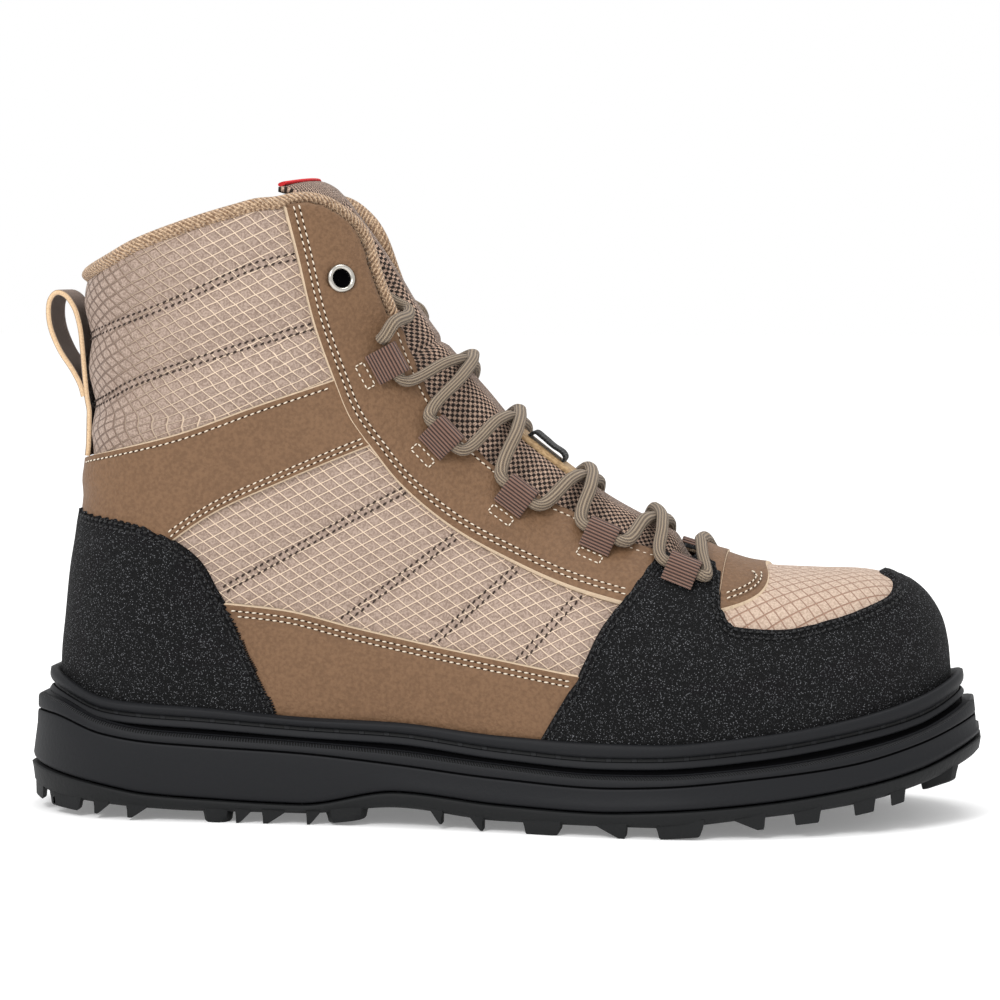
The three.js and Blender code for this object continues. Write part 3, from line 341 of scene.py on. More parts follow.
def on_side(x, z, side, lift):
    """Points on the form's side, raised along its normal, and the normals."""
    x, z = np.asarray(x, float), np.asarray(z, float)
    e = 0.4
    slope_x = (side * (half(x + e, z) - half(x - e, z)) + centre(x + e, z) - centre(x - e, z)) / (2 * e)
    slope_z = (side * (half(x, z + e) - half(x, z - e)) + centre(x, z + e) - centre(x, z - e)) / (2 * e)
    normal = unit(np.stack([-side * slope_x, np.full(x.shape, float(side)), -side * slope_z], -1))
    point = np.stack([x, centre(x, z) + side * half(x, z), z], -1)
    return point + normal * np.asarray(lift)[..., None], normal


def ridge_frame(share):
    """Point, tangent and outward normal of the ridge at a share of its rows."""
    u = np.clip(share, 0, 1) * (len(ridge_line) - 1)
    i = int(min(u, len(ridge_line) - 2))
    p = mix(ridge_line[i], ridge_line[i + 1], u - i)
    t = unit(ridge_line[i + 1] - ridge_line[i])
    return p, t, np.array([t[1], -t[0]])


def ridge_share(x, z):
    d = np.hypot(ridge_line[:, 0] - x, ridge_line[:, 1] - z)
    return int(d.argmin()) / (len(ridge_line) - 1)


# Charts: fine grids over each side of the form

VAMP_X = 0.205 * SOLE
RAYS = {"toe": 60, "instep": 150, "shaft": 76, "across": 112}
HEM = 5


def fan_rays():
    """Rays from the ridge to the foot of the form, toe first: top, foot, turned, shut."""
    rays = []
    for i in range(RAYS["toe"]):
        x = mix(VAMP_X, TIP, math.cos(math.pi / 2 * i / RAYS["toe"]))
        rays.append(((x, float(ridge_top(x))), (x, float(level("feather", x)) - HEM), 0.0, i == 0))
    vamp = ridge_share(VAMP_X, ridge_top(VAMP_X))
    ankle_x = -0.026 * SOLE
    ankle = ridge_share(ankle_x, ridge_top(ankle_x))
    low = float(level("feather", -TIP)) - HEM
    for i in range(RAYS["instep"] + 1):
        t = i / RAYS["instep"]
        p, _, _ = ridge_frame(mix(vamp, ankle, t))
        x = mix(VAMP_X, float(back_at(low)), math.sin(math.pi / 2 * t))
        rays.append((p, (x, float(level("feather", x)) - HEM), float(ease(t, 0.4, 0.8)), t == 1))
    for i in range(1, RAYS["shaft"] + 1):
        t = i / RAYS["shaft"]
        p, _, _ = ridge_frame(mix(ankle, 1, t))
        z = mix(low, ridge_line[-1, 1], t**0.9)
        rays.append((p, (float(back_at(z)), z), 1.0, True))
    return rays


def side_grid():
    rays = fan_rays()
    n = RAYS["across"]
    j = np.arange(n + 1) / n
    both, top_only = (1 - np.cos(np.pi * j)) / 2, 1 - np.cos(np.pi / 2 * j)
    x, z, shut = [], [], []
    for i, (top, foot, turned, closed) in enumerate(rays):
        t = mix(top_only, both, turned)
        x.append(mix(top[0], foot[0], t))
        z.append(mix(top[1], foot[1], t))
        shut.append((j == 0) | (i == 0) | ((j == 1) & closed))
    return np.array(x), np.array(z), np.array(shut)


grid_x, grid_z, grid_shut = side_grid()


def grid_quads(rows, columns):
    k = (np.arange(rows - 1)[:, None] * columns + np.arange(columns - 1)[None]).ravel()
    return np.stack([k, k + 1, k + 1 + columns, k + columns], 1)


def grid_triangles(rows, columns):
    quads = grid_quads(rows, columns)
    return np.vstack([quads[:, :3], quads[:, [0, 2, 3]]])


def ring_quads(count, low, high):
    """Quads between two closed rings, whose points start at low and at high."""
    i = np.arange(count)
    j = (i + 1) % count
    return np.stack([i + low, j + low, j + high, i + high], 1)


def chart(side):
    """Point, normal and side-view place of each grid vertex of one side."""
    y = np.where(grid_shut, centre(grid_x, grid_z), centre(grid_x, grid_z) + side * half(grid_x, grid_z))
    p = np.stack([grid_x, y, grid_z], -1)
    normal = unit(np.cross(np.gradient(p, axis=0), np.gradient(p, axis=1)))
    normal *= side * np.sign(np.median(normal[..., 1]))
    normal[grid_shut, 1] = 0
    normal[0] = (1, 0, 0)
    tris = grid_triangles(*grid_x.shape)
    if side == INNER:
        tris = tris[:, ::-1]
    return {"p": p.reshape(-1, 3), "n": unit(normal.reshape(-1, 3)), "tris": tris}


def polygon_distance(polygon, x, z):
    """Signed distance to a closed outline in the side view, negative inside."""
    best, inside = np.full(x.shape, ENDLESS), np.zeros(x.shape, bool)
    for a, b in zip(polygon, np.roll(polygon, -1, axis=0)):
        dx, dz = b - a
        if dx == 0 and dz == 0:
            continue
        px, pz = from_segment(a, b, x, z)
        best = np.minimum(best, px**2 + pz**2)
        crosses = (a[1] > z) != (b[1] > z)
        inside ^= crosses & (x < a[0] + (z - a[1]) * dx / (dz if dz else 1))
    return np.sqrt(best) * np.where(inside, -1, 1)


def line_distance(line, x, z):
    best = np.full(x.shape, ENDLESS)
    for a, b in zip(line[:-1], line[1:]):
        px, pz = from_segment(a, b, x, z)
        best = np.minimum(best, px**2 + pz**2)
    return np.sqrt(best)


def clip(values, tris, distance):
    """Cuts a triangle mesh along distance = 0 and keeps the negative side.

    values holds a row of numbers for each vertex. Returns the new rows, triangles and cut segments.
    """
    inside = distance < 0
    count = inside[tris].sum(1)
    kept = tris[count == 3]
    crossed = (count == 1) | (count == 2)
    cut, alone = tris[crossed], count[crossed] == 1
    odd = (inside[cut] == alone[:, None]).argmax(1)
    rolled = cut[np.arange(len(cut))[:, None], (odd[:, None] + np.arange(3)) % 3]
    pairs = np.vstack([rolled[:, [0, 1]], rolled[:, [0, 2]]])
    keys, index = np.unique(np.sort(pairs, 1), axis=0, return_inverse=True)
    index = index.ravel()
    d0, d1 = distance[keys[:, 0]], distance[keys[:, 1]]
    t = (d0 / (d0 - d1))[:, None]
    fresh = values[keys[:, 0]] * (1 - t) + values[keys[:, 1]] * t
    ab, ac = index[:len(cut)] + len(values), index[len(cut):] + len(values)
    one, two = rolled[alone], rolled[~alone]
    tris_one = np.stack([one[:, 0], ab[alone], ac[alone]], 1)
    tris_two = np.vstack([
        np.stack([ab[~alone], two[:, 1], two[:, 2]], 1),
        np.stack([ab[~alone], two[:, 2], ac[~alone]], 1),
    ])
    segments = np.vstack([
        np.stack([ac[alone], ab[alone]], 1),
        np.stack([ab[~alone], ac[~alone]], 1),
    ])
    rows = np.vstack([values, fresh])
    made = np.vstack([kept, tris_one, tris_two])
    used, inverse = np.unique(np.concatenate([made.ravel(), segments.ravel()]), return_inverse=True)
    inverse = inverse.ravel()
    return rows[used], inverse[:made.size].reshape(-1, 3), inverse[made.size:].reshape(-1, 2)


def closed_line(*parts):
    return np.vstack([np.asarray(p, float) for p in parts])


FAR = 260.0
BOUND = 3.2
BOUND_FROM = 78
throat_line = curve_through(THROAT)
rim_line = curve_through(RIM)
edge_line = np.vstack([throat_line, rim_line[::-1]])
cut_line = beside(edge_line, BOUND * ease(np.arange(len(edge_line)), BOUND_FROM - 6, BOUND_FROM + 3))
OPENING = closed_line([(70, 92)], cut_line, [(-200, 174), (-200, FAR), (200, FAR), (72, 130)])
flat_x, flat_z = grid_x.ravel(), grid_z.ravel()
opening_distance = polygon_distance(OPENING, flat_x, flat_z)
eyelet_distance = np.hypot(flat_x - EYELET_SPOT[0], flat_z - EYELET_SPOT[1]) - EYELET_HOLE / 2 - 0.7


# Cloth coordinates: lengths along the surface, measured from the middle of the foot

def cloth_maps():
    wide = half(map_x, map_z)
    along = np.sqrt(1 + np.clip(np.gradient(wide, axis=0), -2, 2) ** 2)
    up = np.sqrt(1 + np.clip(np.gradient(wide, axis=1), -2, 2) ** 2)
    run, climb = np.cumsum(along, 0), np.cumsum(up, 1)
    return run - run[MAP_HALF:MAP_HALF + 1], climb


cloth_run, cloth_climb = cloth_maps()
WEAVES = {  # angles of the two yarn families, and the spacing of their lines
    "shaft": (25, -42, 3.5),
    "side": (27, -37, 3.5),
    "vamp": (40, -36, 3.3),
}


def weave_coordinates(p):
    """Counts of ripstop cells across each yarn family, by region."""
    x, y, z = p.T
    run, climb = sample(cloth_run, x, z), sample(cloth_climb, x, z)
    on_vamp = x > 72
    a, b = np.where(on_vamp, x, run), np.where(on_vamp, np.abs(y), climb)
    shaft = (z > np.interp(x, [-150, -51], [110, 138])) & ~on_vamp
    out = np.zeros((len(p), 2))
    for name, mask in (("shaft", shaft), ("side", ~shaft & ~on_vamp), ("vamp", on_vamp)):
        first, second, cell = WEAVES[name]
        for k, angle in enumerate((first, second)):
            turn = math.radians(angle)
            out[mask, k] = (b[mask] * math.cos(turn) - a[mask] * math.sin(turn)) / cell
    return out


# Meshes

def add_object(name, data):
    thing = bpy.data.objects.new(name, data)
    bpy.context.scene.collection.objects.link(thing)
    return thing


def mesh_piece(name, points, faces, materials, uv=None, slots=None, sharp=None, nodes=(), slot=None):
    """A joined mesh of triangles or quads, riding on the boot, standing for its solids."""
    mesh = bpy.data.meshes.new(name)
    faces = np.asarray(faces)
    count, corners = faces.shape
    mesh.vertices.add(len(points))
    mesh.vertices.foreach_set("co", (np.asarray(points) * METRES).astype(np.float32).ravel())
    mesh.loops.add(count * corners)
    mesh.loops.foreach_set("vertex_index", faces.astype(np.int32).ravel())
    mesh.polygons.add(count)
    mesh.polygons.foreach_set("loop_start", (np.arange(count) * corners).astype(np.int32))
    if uv is not None:
        layer = mesh.uv_layers.new(name="UVMap")
        layer.data.foreach_set("uv", np.asarray(uv)[faces.ravel()].astype(np.float32).ravel())
    mesh.polygons.foreach_set("use_smooth", np.ones(count, bool))
    if slots is not None:
        mesh.polygons.foreach_set("material_index", np.asarray(slots, np.int32))
    for m in materials:
        mesh.materials.append(m)
    mesh.update(calc_edges=True)
    mesh.validate()
    if sharp:
        mesh.set_sharp_from_angle(angle=math.radians(sharp))
    piece = add_object(name, mesh)
    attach(piece, "root")
    if nodes:
        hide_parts(*nodes)
    return piece


class Pile:
    """Points, faces, cloth coordinates and material slots, gathered into one mesh."""

    def __init__(self):
        self.points, self.faces, self.uv, self.slots, self.count = [], [], [], [], 0

    def add(self, points, faces, uv=None, slot=0):
        self.points.append(points)
        self.faces.append(np.asarray(faces) + self.count)
        self.uv.append(np.zeros((len(points), 2)) if uv is None else uv)
        self.slots.append(np.full(len(faces), slot))
        self.count += len(points)

    def piece(self, name, materials, weld=None, **facts):
        """Makes the mesh. Vertices that meet to weld digits are joined, so that both sides shade as one."""
        points, faces = np.vstack(self.points), np.vstack(self.faces)
        uv, slots = np.vstack(self.uv), np.concatenate(self.slots)
        if weld:
            places = np.round(points, weld)
            _, first, inverse = np.unique(places, axis=0, return_index=True, return_inverse=True)
            points, faces, uv = points[first], inverse.ravel()[faces], uv[first]
        if faces.shape[1] == 3:
            whole = (faces != np.roll(faces, 1, axis=1)).all(axis=1)
            faces, slots = faces[whole], slots[whole]
        return mesh_piece(name, points, faces, materials, uv=uv, slots=slots, **facts)


charts = {side: chart(side) for side in SIDES}


NO_CUTS = np.zeros((0, 2), int)


def panel(pile, side, distance, lift, under, edge, edge_slot=0, strip=None):
    """A layer over the form where distance is negative: raised by lift, with a round edge and a wall.

    strip marks the band along the edge that shows the cut leather, where it is positive.
    """
    c = charts[side]
    strip = np.full(len(distance), -1.0) if strip is None else strip
    values = np.hstack([c["p"], c["n"], distance[:, None], lift[:, None], strip[:, None]])
    rows, tris, cuts = clip(values, c["tris"], distance)
    if (strip > 0).any():
        pale, pale_tris, _ = clip(rows, tris, -rows[:, 8])
        add_layer(pile, pale, pale_tris, NO_CUTS, under, edge, edge_slot, edge_slot)
        plain, plain_tris, _ = clip(rows, tris, rows[:, 8])
        add_layer(pile, plain, plain_tris, NO_CUTS, under, edge, 0, edge_slot)
        tris = np.zeros((0, 3), int)
    add_layer(pile, rows, tris, cuts, under, edge, 0, edge_slot)


def add_layer(pile, rows, tris, cuts, under, edge, slot, edge_slot):
    """The outer face of a layer and the wall along its cut edge."""
    p, n = rows[:, :3], unit(rows[:, 3:6])
    inward = np.clip(-rows[:, 6] / edge, 0, 1)
    height = under + (rows[:, 7] - under) * np.sqrt(np.clip(1 - (1 - inward) ** 2, 0.12, 1))
    top = p + n * height[:, None]
    uv = weave_coordinates(p)
    if len(tris):
        pile.add(top, tris, uv, slot)
    if len(cuts):
        a, b = cuts.T
        foot = p + n * under
        wall = np.vstack([np.stack([a, b, b + len(p)], 1), np.stack([a, b + len(p), a + len(p)], 1)])
        used, inverse = np.unique(wall, return_inverse=True)
        both = np.vstack([top, foot])
        pile.add(both[used], inverse.reshape(-1, 3)[:, ::-1], np.vstack([uv, uv])[used], edge_slot)


# Stitches

STITCH_SIDES = 5


def stitch_template():
    rings = []
    for along, wide in ((-0.62, 0.75), (0, 1.0), (0.62, 0.75)):
        for k in range(STITCH_SIDES):
            angle = 2 * math.pi * k / STITCH_SIDES
            rings.append((along, wide * math.cos(angle), wide * math.sin(angle)))
    points = np.array([(-1, 0, -0.5)] + rings + [(1, 0, -0.5)])
    faces = []
    last = len(points) - 1
    for k in range(STITCH_SIDES):
        nxt = (k + 1) % STITCH_SIDES
        faces.append((0, 1 + nxt, 1 + k))
        for ring in range(2):
            a, b = 1 + ring * STITCH_SIDES + k, 1 + ring * STITCH_SIDES + nxt
            faces += [(a, b, b + STITCH_SIDES), (a, b + STITCH_SIDES, a + STITCH_SIDES)]
        faces.append((last, 1 + 2 * STITCH_SIDES + k, 1 + 2 * STITCH_SIDES + nxt))
    return points, np.array(faces)


STITCH_POINTS, STITCH_FACES = stitch_template()


def stitches(pile, centres, tangents, normals, long=1.65, wide=0.55, slant=8):
    """Thread stitches lying along a row, each a small rounded bar."""
    slant = math.radians(slant)
    t = unit(tangents)
    b = unit(np.cross(normals, t))
    t, b = t * math.cos(slant) + b * math.sin(slant), b * math.cos(slant) - t * math.sin(slant)
    jitter = 1 + rng.uniform(-0.08, 0.08, (len(centres), 1, 1))
    q = STITCH_POINTS[None]
    points = (centres[:, None] + jitter * long / 2 * q[..., :1] * t[:, None]
              + wide / 2 * q[..., 1:2] * b[:, None] + wide / 2 * q[..., 2:3] * normals[:, None])
    size = len(STITCH_POINTS)
    faces = (STITCH_FACES[None] + (np.arange(len(centres)) * size)[:, None, None]).reshape(-1, 3)
    pile.add(points.reshape(-1, 3), faces)


def band_rise(x, z):
    """How far the ankle band stands off at the back, over the foot of the pull loop."""
    return 1.4 * ease(-x, 126, 138) * ease(z, 104, 112) * (1 - ease(z, 124, 130))


def stitch_row(pile, line, side, lift, pitch=2.35, keep=None, holes=None, **look):
    """A row of stitches along a line in the side view, with dark bars in the holes between them as painted
    shade.
    """
    dense = resample(np.asarray(line, float), 400)
    rise = band_rise(dense[:, 0], dense[:, 1])
    p, n = on_side(dense[:, 0], dense[:, 1], side, lift + rise)
    s = lengths(p)
    middle = np.arange(pitch / 2, s[-1] - pitch / 4, pitch)

    def at(v):
        return np.stack([np.interp(middle, s, v[:, k]) for k in range(3)], 1)

    centres, normals, tangents = at(p), unit(at(n)), at(np.gradient(p, axis=0))
    seen = half(centres[:, 0], centres[:, 2], -lift) > 2.0
    if keep is not None:
        seen &= keep(centres[:, 0], centres[:, 2])
    if not seen.any():
        return
    stitches(pile, centres[seen], tangents[seen], normals[seen], **look)
    if holes is not None:
        pair = seen[1:] & seen[:-1]
        pricks = ((centres[1:] + centres[:-1]) / 2)[pair] - 0.08 * normals[1:][pair]
        stitches(holes, pricks, tangents[1:][pair], normals[1:][pair], long=0.8, wide=0.5, slant=0)


# Materials

def srgb(r, g, b):
    def linear(v):
        v /= 255
        return v / 12.92 if v <= 0.04045 else ((v + 0.055) / 1.055) ** 2.4
    return (linear(r), linear(g), linear(b), 1)


class Look:
    """A Principled material, with short calls for the nodes that shape it."""

    def __init__(self, name, rough, specular=0.35, metal=0.0, sheen=0.0):
        self.material = bpy.data.materials.new(name)
        self.material.use_nodes = True
        self.tree = self.material.node_tree
        self.shader = self.tree.nodes["Principled BSDF"]
        self.set("Roughness", rough)
        self.set("Specular IOR Level", specular)
        self.set("Metallic", metal)
        self.set("Sheen Weight", sheen)

    def set(self, socket, value):
        self.shader.inputs[socket].default_value = value

    def node(self, kind, **inputs):
        n = self.tree.nodes.new(kind)
        for key, value in inputs.items():
            self.feed(n, key.replace("_", " "), value)
        return n

    def feed(self, n, key, value):
        socket = n.inputs[key]
        if isinstance(value, bpy.types.NodeSocket):
            self.tree.links.new(value, socket)
        else:
            socket.default_value = value

    def math(self, operation, *values):
        n = self.tree.nodes.new("ShaderNodeMath")
        n.operation = operation
        for i, v in enumerate(values):
            self.feed(n, i, v)
        return n.outputs[0]

    def plus(self, a, b):
        return self.math("ADD", a, b)

    def times(self, a, b):
        return self.math("MULTIPLY", a, b)

    def wave(self, value, pitch, shape="SINE"):
        return self.math(shape, self.times(value, 2 * math.pi / pitch))

    def parts(self, vector):
        return self.node("ShaderNodeSeparateXYZ", Vector=vector).outputs

    def cloth(self):
        """The two cloth coordinates."""
        n = self.tree.nodes.new("ShaderNodeUVMap")
        n.uv_map = "UVMap"
        parts = self.parts(n.outputs["UV"])
        return parts["X"], parts["Y"]

    def place(self):
        return self.tree.nodes.new("ShaderNodeTexCoord").outputs["Object"]

    def noise(self, scale, detail):
        return self.node("ShaderNodeTexNoise", Scale=scale, Detail=detail, Vector=self.place()).outputs["Fac"]

    def cells(self, scale):
        return self.node("ShaderNodeTexVoronoi", Scale=scale, Vector=self.place()).outputs["Distance"]

    def between(self, value, low, high):
        """Eased from 0 at low to 1 at high."""
        n = self.node("ShaderNodeMapRange", Value=value, From_Min=low, From_Max=high)
        n.interpolation_type = "SMOOTHSTEP"
        return n.outputs[0]

    def blend(self, amount, a, b):
        n = self.tree.nodes.new("ShaderNodeMix")
        n.data_type = "RGBA"
        for i, v in ((0, amount), (6, a), (7, b)):
            self.feed(n, i, v)
        return n.outputs[2]

    def stripes(self, value, width, soft):
        """1 on thin lines at whole numbers of value, 0 between."""
        off = self.math("ABSOLUTE", self.math("SUBTRACT", self.math("FRACT", value), 0.5))
        return self.between(off, 0.5 - width - soft, 0.5 - width)

    def colour(self, value):
        self.feed(self.shader, "Base Color", value)

    def bump(self, height, distance, strength=1.0):
        n = self.node("ShaderNodeBump", Height=height, Distance=distance * METRES, Strength=strength)
        self.tree.links.new(n.outputs["Normal"], self.shader.inputs["Normal"])


def ripstop_look():
    """Ripstop: fine speckled cells between raised yarns; the yarns are painted cream where light falls and
    dark brown round the heel, with painted shadow lines beside them.
    """
    look = Look("ripstop", 0.62, specular=0.3, sheen=0.1)
    u, v = look.cloth()
    lines = look.math("MAXIMUM", look.stripes(u, 0.028, 0.055), look.stripes(v, 0.028, 0.055))
    # Painted shadow: thin dark lines just beside each yarn line.
    shadow_line_u, shadow_line_v = (look.stripes(look.plus(c, 0.1), 0.03, 0.07) for c in (u, v))
    shade = look.math("MAXIMUM", shadow_line_u, shadow_line_v)
    threads = look.math("SINE", look.times(look.plus(u, v), 62.0))
    mottled = look.noise(1500.0, 1.0)
    cell = look.blend(look.between(mottled, 0.35, 0.65), srgb(137, 117, 104), srgb(170, 149, 135))
    # Painted light by place: yarns lit towards the front and low on the side, shaded round the heel.
    front = look.between(look.parts(look.place())["X"], -0.138, -0.086)
    toe = look.between(look.parts(look.place())["X"], 0.055, 0.07)
    low = look.between(look.parts(look.place())["Z"], 0.124, 0.108)
    lit = look.math("MAXIMUM", front, low)
    # Painted shade on the shadow lines, darker where the yarns are unlit, left off the vamp.
    dark = look.times(shade, look.math("SUBTRACT", 0.75, look.times(lit, 0.4)))
    cell = look.blend(look.times(dark, look.math("SUBTRACT", 1.0, toe)), cell, srgb(92, 68, 54))
    # Yarn colour: painted shade, dark brown, round the heel; painted light, cream, elsewhere.
    yarn = look.blend(lit, srgb(98, 76, 62), srgb(224, 200, 176))
    yarn = look.blend(toe, yarn, srgb(152, 118, 98))
    pale = look.blend(look.between(mottled, 0.3, 0.7), srgb(170, 146, 128), srgb(198, 176, 157))
    cell = look.blend(toe, cell, pale)
    look.colour(look.blend(lines, cell, yarn))
    height = look.plus(lines, look.times(threads, 0.1))
    look.bump(look.plus(height, look.times(mottled, 0.4)), 0.25)
    return look.material


def leather_look(name, dark, light):
    look = Look(name, 0.6, specular=0.3)
    grain = look.cells(1150.0)
    soft = look.noise(800.0, 3.0)
    broad = look.noise(30.0, 2.0)
    tone = look.plus(look.times(soft, 0.8), look.times(broad, 0.2))
    look.colour(look.blend(look.between(tone, 0.35, 0.65), dark, light))
    height = look.plus(look.times(grain, 0.7), soft)
    look.bump(height, 0.24, 0.8)
    return look.material


def guard_look():
    """Black abrasion fabric with dense fine light specks."""
    look = Look("guard_fabric", 0.85, specular=0.15)
    speck = look.cells(1900.0)
    mottled = look.noise(1500.0, 2.0)
    lit = look.times(look.between(speck, 0.42, 0.18), look.between(mottled, 0.44, 0.6))
    look.colour(look.blend(lit, srgb(13, 13, 14), srgb(104, 105, 108)))
    look.bump(look.plus(mottled, look.times(speck, 0.8)), 0.4)
    return look.material


def rubber_look(name, tone, rough=0.6, grain=0.1):
    look = Look(name, rough, specular=0.22)
    look.colour(tone)
    look.bump(look.noise(700.0, 3.0), grain)
    return look.material


def shelf_look():
    """The outer corner of the shelf, with its fine slanting ribs, painted light on their crests and dark
    between as painted shading.
    """
    look = Look("sole_shelf", 0.6, specular=0.22)
    u, v = look.cloth()
    slanted = look.plus(look.times(u, 0.9), look.times(v, 0.4))
    wave = look.wave(slanted, 0.85)
    # Painted shading of the ribs: crests lighter, hollows darker.
    look.colour(look.blend(look.between(wave, -1.0, 1.0), srgb(12, 12, 13), srgb(38, 39, 42)))
    look.bump(wave, 0.3)
    return look.material


def slot_look():
    """The shallow slots under the bead, each a dash painted dark as shade between short lighter bridges."""
    look = Look("sole_slots", 0.6, specular=0.2)
    u, _ = look.cloth()
    bridge = look.stripes(look.math("DIVIDE", u, 8.8), 0.1, 0.03)
    # Painted shade in the slots; the bridges keep a lighter tone.
    look.colour(look.blend(bridge, srgb(15, 16, 17), srgb(26, 27, 29)))
    look.bump(bridge, 0.4)
    return look.material


def mesh_look():
    """Open spacer mesh: staggered holes painted dark as shade, between light yarns."""
    look = Look("tongue_mesh", 0.85, specular=0.15, sheen=0.1)
    u, v = look.cloth()
    rows = look.wave(u, 2.2, "COSINE")
    columns = look.wave(v, 1.4, "COSINE")
    hole = look.between(look.times(rows, columns), -0.12, 0.22)
    strand = look.noise(2500.0, 2.0)
    yarn = look.blend(look.between(strand, 0.35, 0.65), srgb(126, 102, 88), srgb(200, 172, 152))
    # Painted shade: the holes are a dark brown patch, not open.
    look.colour(look.blend(hole, yarn, srgb(44, 36, 32)))
    look.bump(look.math("SUBTRACT", 1.0, hole), 0.7)
    return look.material


def ribbed_look(name, dark, light):
    """Ribbed webbing."""
    look = Look(name, 0.75, specular=0.25, sheen=0.1)
    u, v = look.cloth()
    wave = look.wave(u, 1.05)
    cross = look.wave(v, 0.5)
    look.colour(look.blend(look.between(wave, -0.9, 0.5), dark, light))
    look.bump(look.plus(wave, look.times(cross, 0.25)), 0.28)
    return look.material


def pull_look():
    """Ribbed grey-brown webbing with light edges."""
    look = Look("pull_webbing", 0.8, specular=0.2)
    _, v = look.cloth()
    wave = look.wave(v, 1.2)
    face = look.blend(look.between(wave, -0.8, 0.8), srgb(104, 90, 82), srgb(150, 134, 124))
    edge = look.between(look.math("ABSOLUTE", v), PULL_WIDE / 2 - 0.5, PULL_WIDE / 2 - 0.25)
    fuzz = look.blend(look.noise(1800.0, 1.0), srgb(176, 142, 106), srgb(236, 208, 172))
    look.colour(look.blend(edge, face, fuzz))
    look.bump(wave, 0.25)
    return look.material


def lace_look():
    """Braided lace: u runs round the section in ribs, v along it. Its colour is painted shading: light on rib
    and braid crests, dark between.
    """
    look = Look("lace", 0.75, specular=0.2, sheen=0.15)
    u, v = look.cloth()
    ribs = look.wave(u, 0.5)
    zigzag = look.times(look.math("ABSOLUTE", ribs), 0.7)
    braid = look.wave(look.plus(v, zigzag), 0.8)
    tone = look.plus(look.times(ribs, 0.55), look.times(braid, 0.45))
    # Painted shading: crests light, hollows dark.
    look.colour(look.blend(look.between(tone, -0.85, 0.75), srgb(76, 62, 50), srgb(176, 156, 132)))
    look.bump(look.plus(ribs, look.times(braid, 0.6)), 0.2)
    return look.material


def knit_look(name, dark, light):
    """Fine knit fabric."""
    look = Look(name, 0.85, specular=0.15, sheen=0.2)
    u, v = look.cloth()
    a = look.wave(look.plus(u, v), 0.7)
    b = look.wave(look.math("SUBTRACT", u, v), 0.7)
    knots = look.times(a, b)
    look.colour(look.blend(look.between(knots, -0.6, 0.6), dark, light))
    look.bump(look.plus(knots, look.noise(1500.0, 2.0)), 0.3)
    return look.material


def braid_look():
    """Bound edge: slanting cords of fuzzy yarn."""
    look = Look("braid", 0.85, specular=0.15, sheen=0.2)
    u, v = look.cloth()
    slanted = look.plus(look.times(v, 0.9), look.times(u, 0.8))
    rope = look.wave(slanted, 1.5)
    fuzz = look.noise(1500.0, 3.0)
    tone = look.plus(look.times(rope, 0.22), look.times(fuzz, 2.2))
    look.colour(look.blend(look.between(tone, 0.7, 1.5), srgb(124, 94, 70), srgb(208, 178, 146)))
    look.bump(look.plus(rope, look.times(fuzz, 2.0)), 0.3)
    return look.material


def plain_look(name, tone, rough, metal=0.0, specular=0.35):
    look = Look(name, rough, specular=specular, metal=metal)
    look.colour(tone)
    return look.material


LOOKS = {
    "ripstop": ripstop_look(),
    "leather": leather_look("brown_leather", srgb(101, 74, 51), srgb(115, 86, 61)),
    "cut_edge": plain_look("cut_edge", srgb(196, 174, 148), 0.8),
    "guard": guard_look(),
    "rubber": rubber_look("sole_rubber", srgb(18, 19, 22)),
    "tread": rubber_look("tread_rubber", srgb(20, 21, 22), 0.65, 0.2),
    # Near-black rubber for grooves, the cove under the bead and the eyelet holes: painted shade in recesses.
    "groove": plain_look("groove_painted_shade", srgb(4, 4, 5), 0.9, specular=0.05),
    "shelf": shelf_look(),
    "slots": slot_look(),
    "mesh": mesh_look(),
    "webbing": ribbed_look("webbing", srgb(54, 38, 32), srgb(134, 102, 88)),
    "pull": pull_look(),
    "black_webbing": ribbed_look("black_webbing", srgb(10, 10, 10), srgb(34, 34, 35)),
    "lace": lace_look(),
    "knit": braid_look(),
    "lining": knit_look("lining", srgb(128, 104, 80), srgb(158, 132, 104)),
    "insole": knit_look("insole_fabric", srgb(22, 22, 22), srgb(42, 42, 42)),
    "tan": leather_look("tan_leather", srgb(140, 112, 78), srgb(178, 148, 108)),
    "red": plain_look("red_webbing", srgb(190, 24, 30), 0.7),
    "metal": plain_look("eyelet_metal", srgb(186, 182, 174), 0.25, metal=1.0),
    "thread": plain_look("light_thread", srgb(216, 204, 186), 0.7),
    # Dark bars set in the stitch holes: painted shade.
    "prick": plain_look("stitch_hole_shade", srgb(38, 28, 22), 0.9, specular=0.05),
    "dark_thread": plain_look("dark_thread", srgb(50, 38, 32), 0.8),
    "black_thread": plain_look("black_thread", srgb(20, 20, 21), 0.6),
}


# Sole

AROUND = 1400


def even_turn():
    """Angles round the plan outline, even along its length."""
    turn = np.linspace(0, 2 * np.pi, 12001)
    x = -SOLE / 2 * np.cos(turn)
    y = outline(x, 0, np.where(turn < np.pi, OUTER, INNER))
    s = lengths(np.stack([x, y], 1))
    return np.interp(np.linspace(0, s[-1], AROUND, endpoint=False), s, turn), s[-1]


ring_turn, ring_length = even_turn()
ring_side = np.where(ring_turn < np.pi, OUTER, INNER)


# How far each level draws in at the very heel and at the very toe
END_INSET = {"tread": (0.3, 0.3), "groove": (2.2, 0.7), "band": (3.9, 1.1), "ledge": (2.4, 0.7),
             "bead": (1.2, 0), "feather": (0.7, 0)}


def ring(name, lift, by):
    heel, toe = END_INSET[name]
    ends = np.where(np.cos(ring_turn) > 0, heel, toe) * np.abs(np.cos(ring_turn)) ** 12
    x = -(SOLE / 2 - by - ends) * np.cos(ring_turn)
    return np.stack([x, outline(x, by, ring_side), level(name, x) + lift], 1)


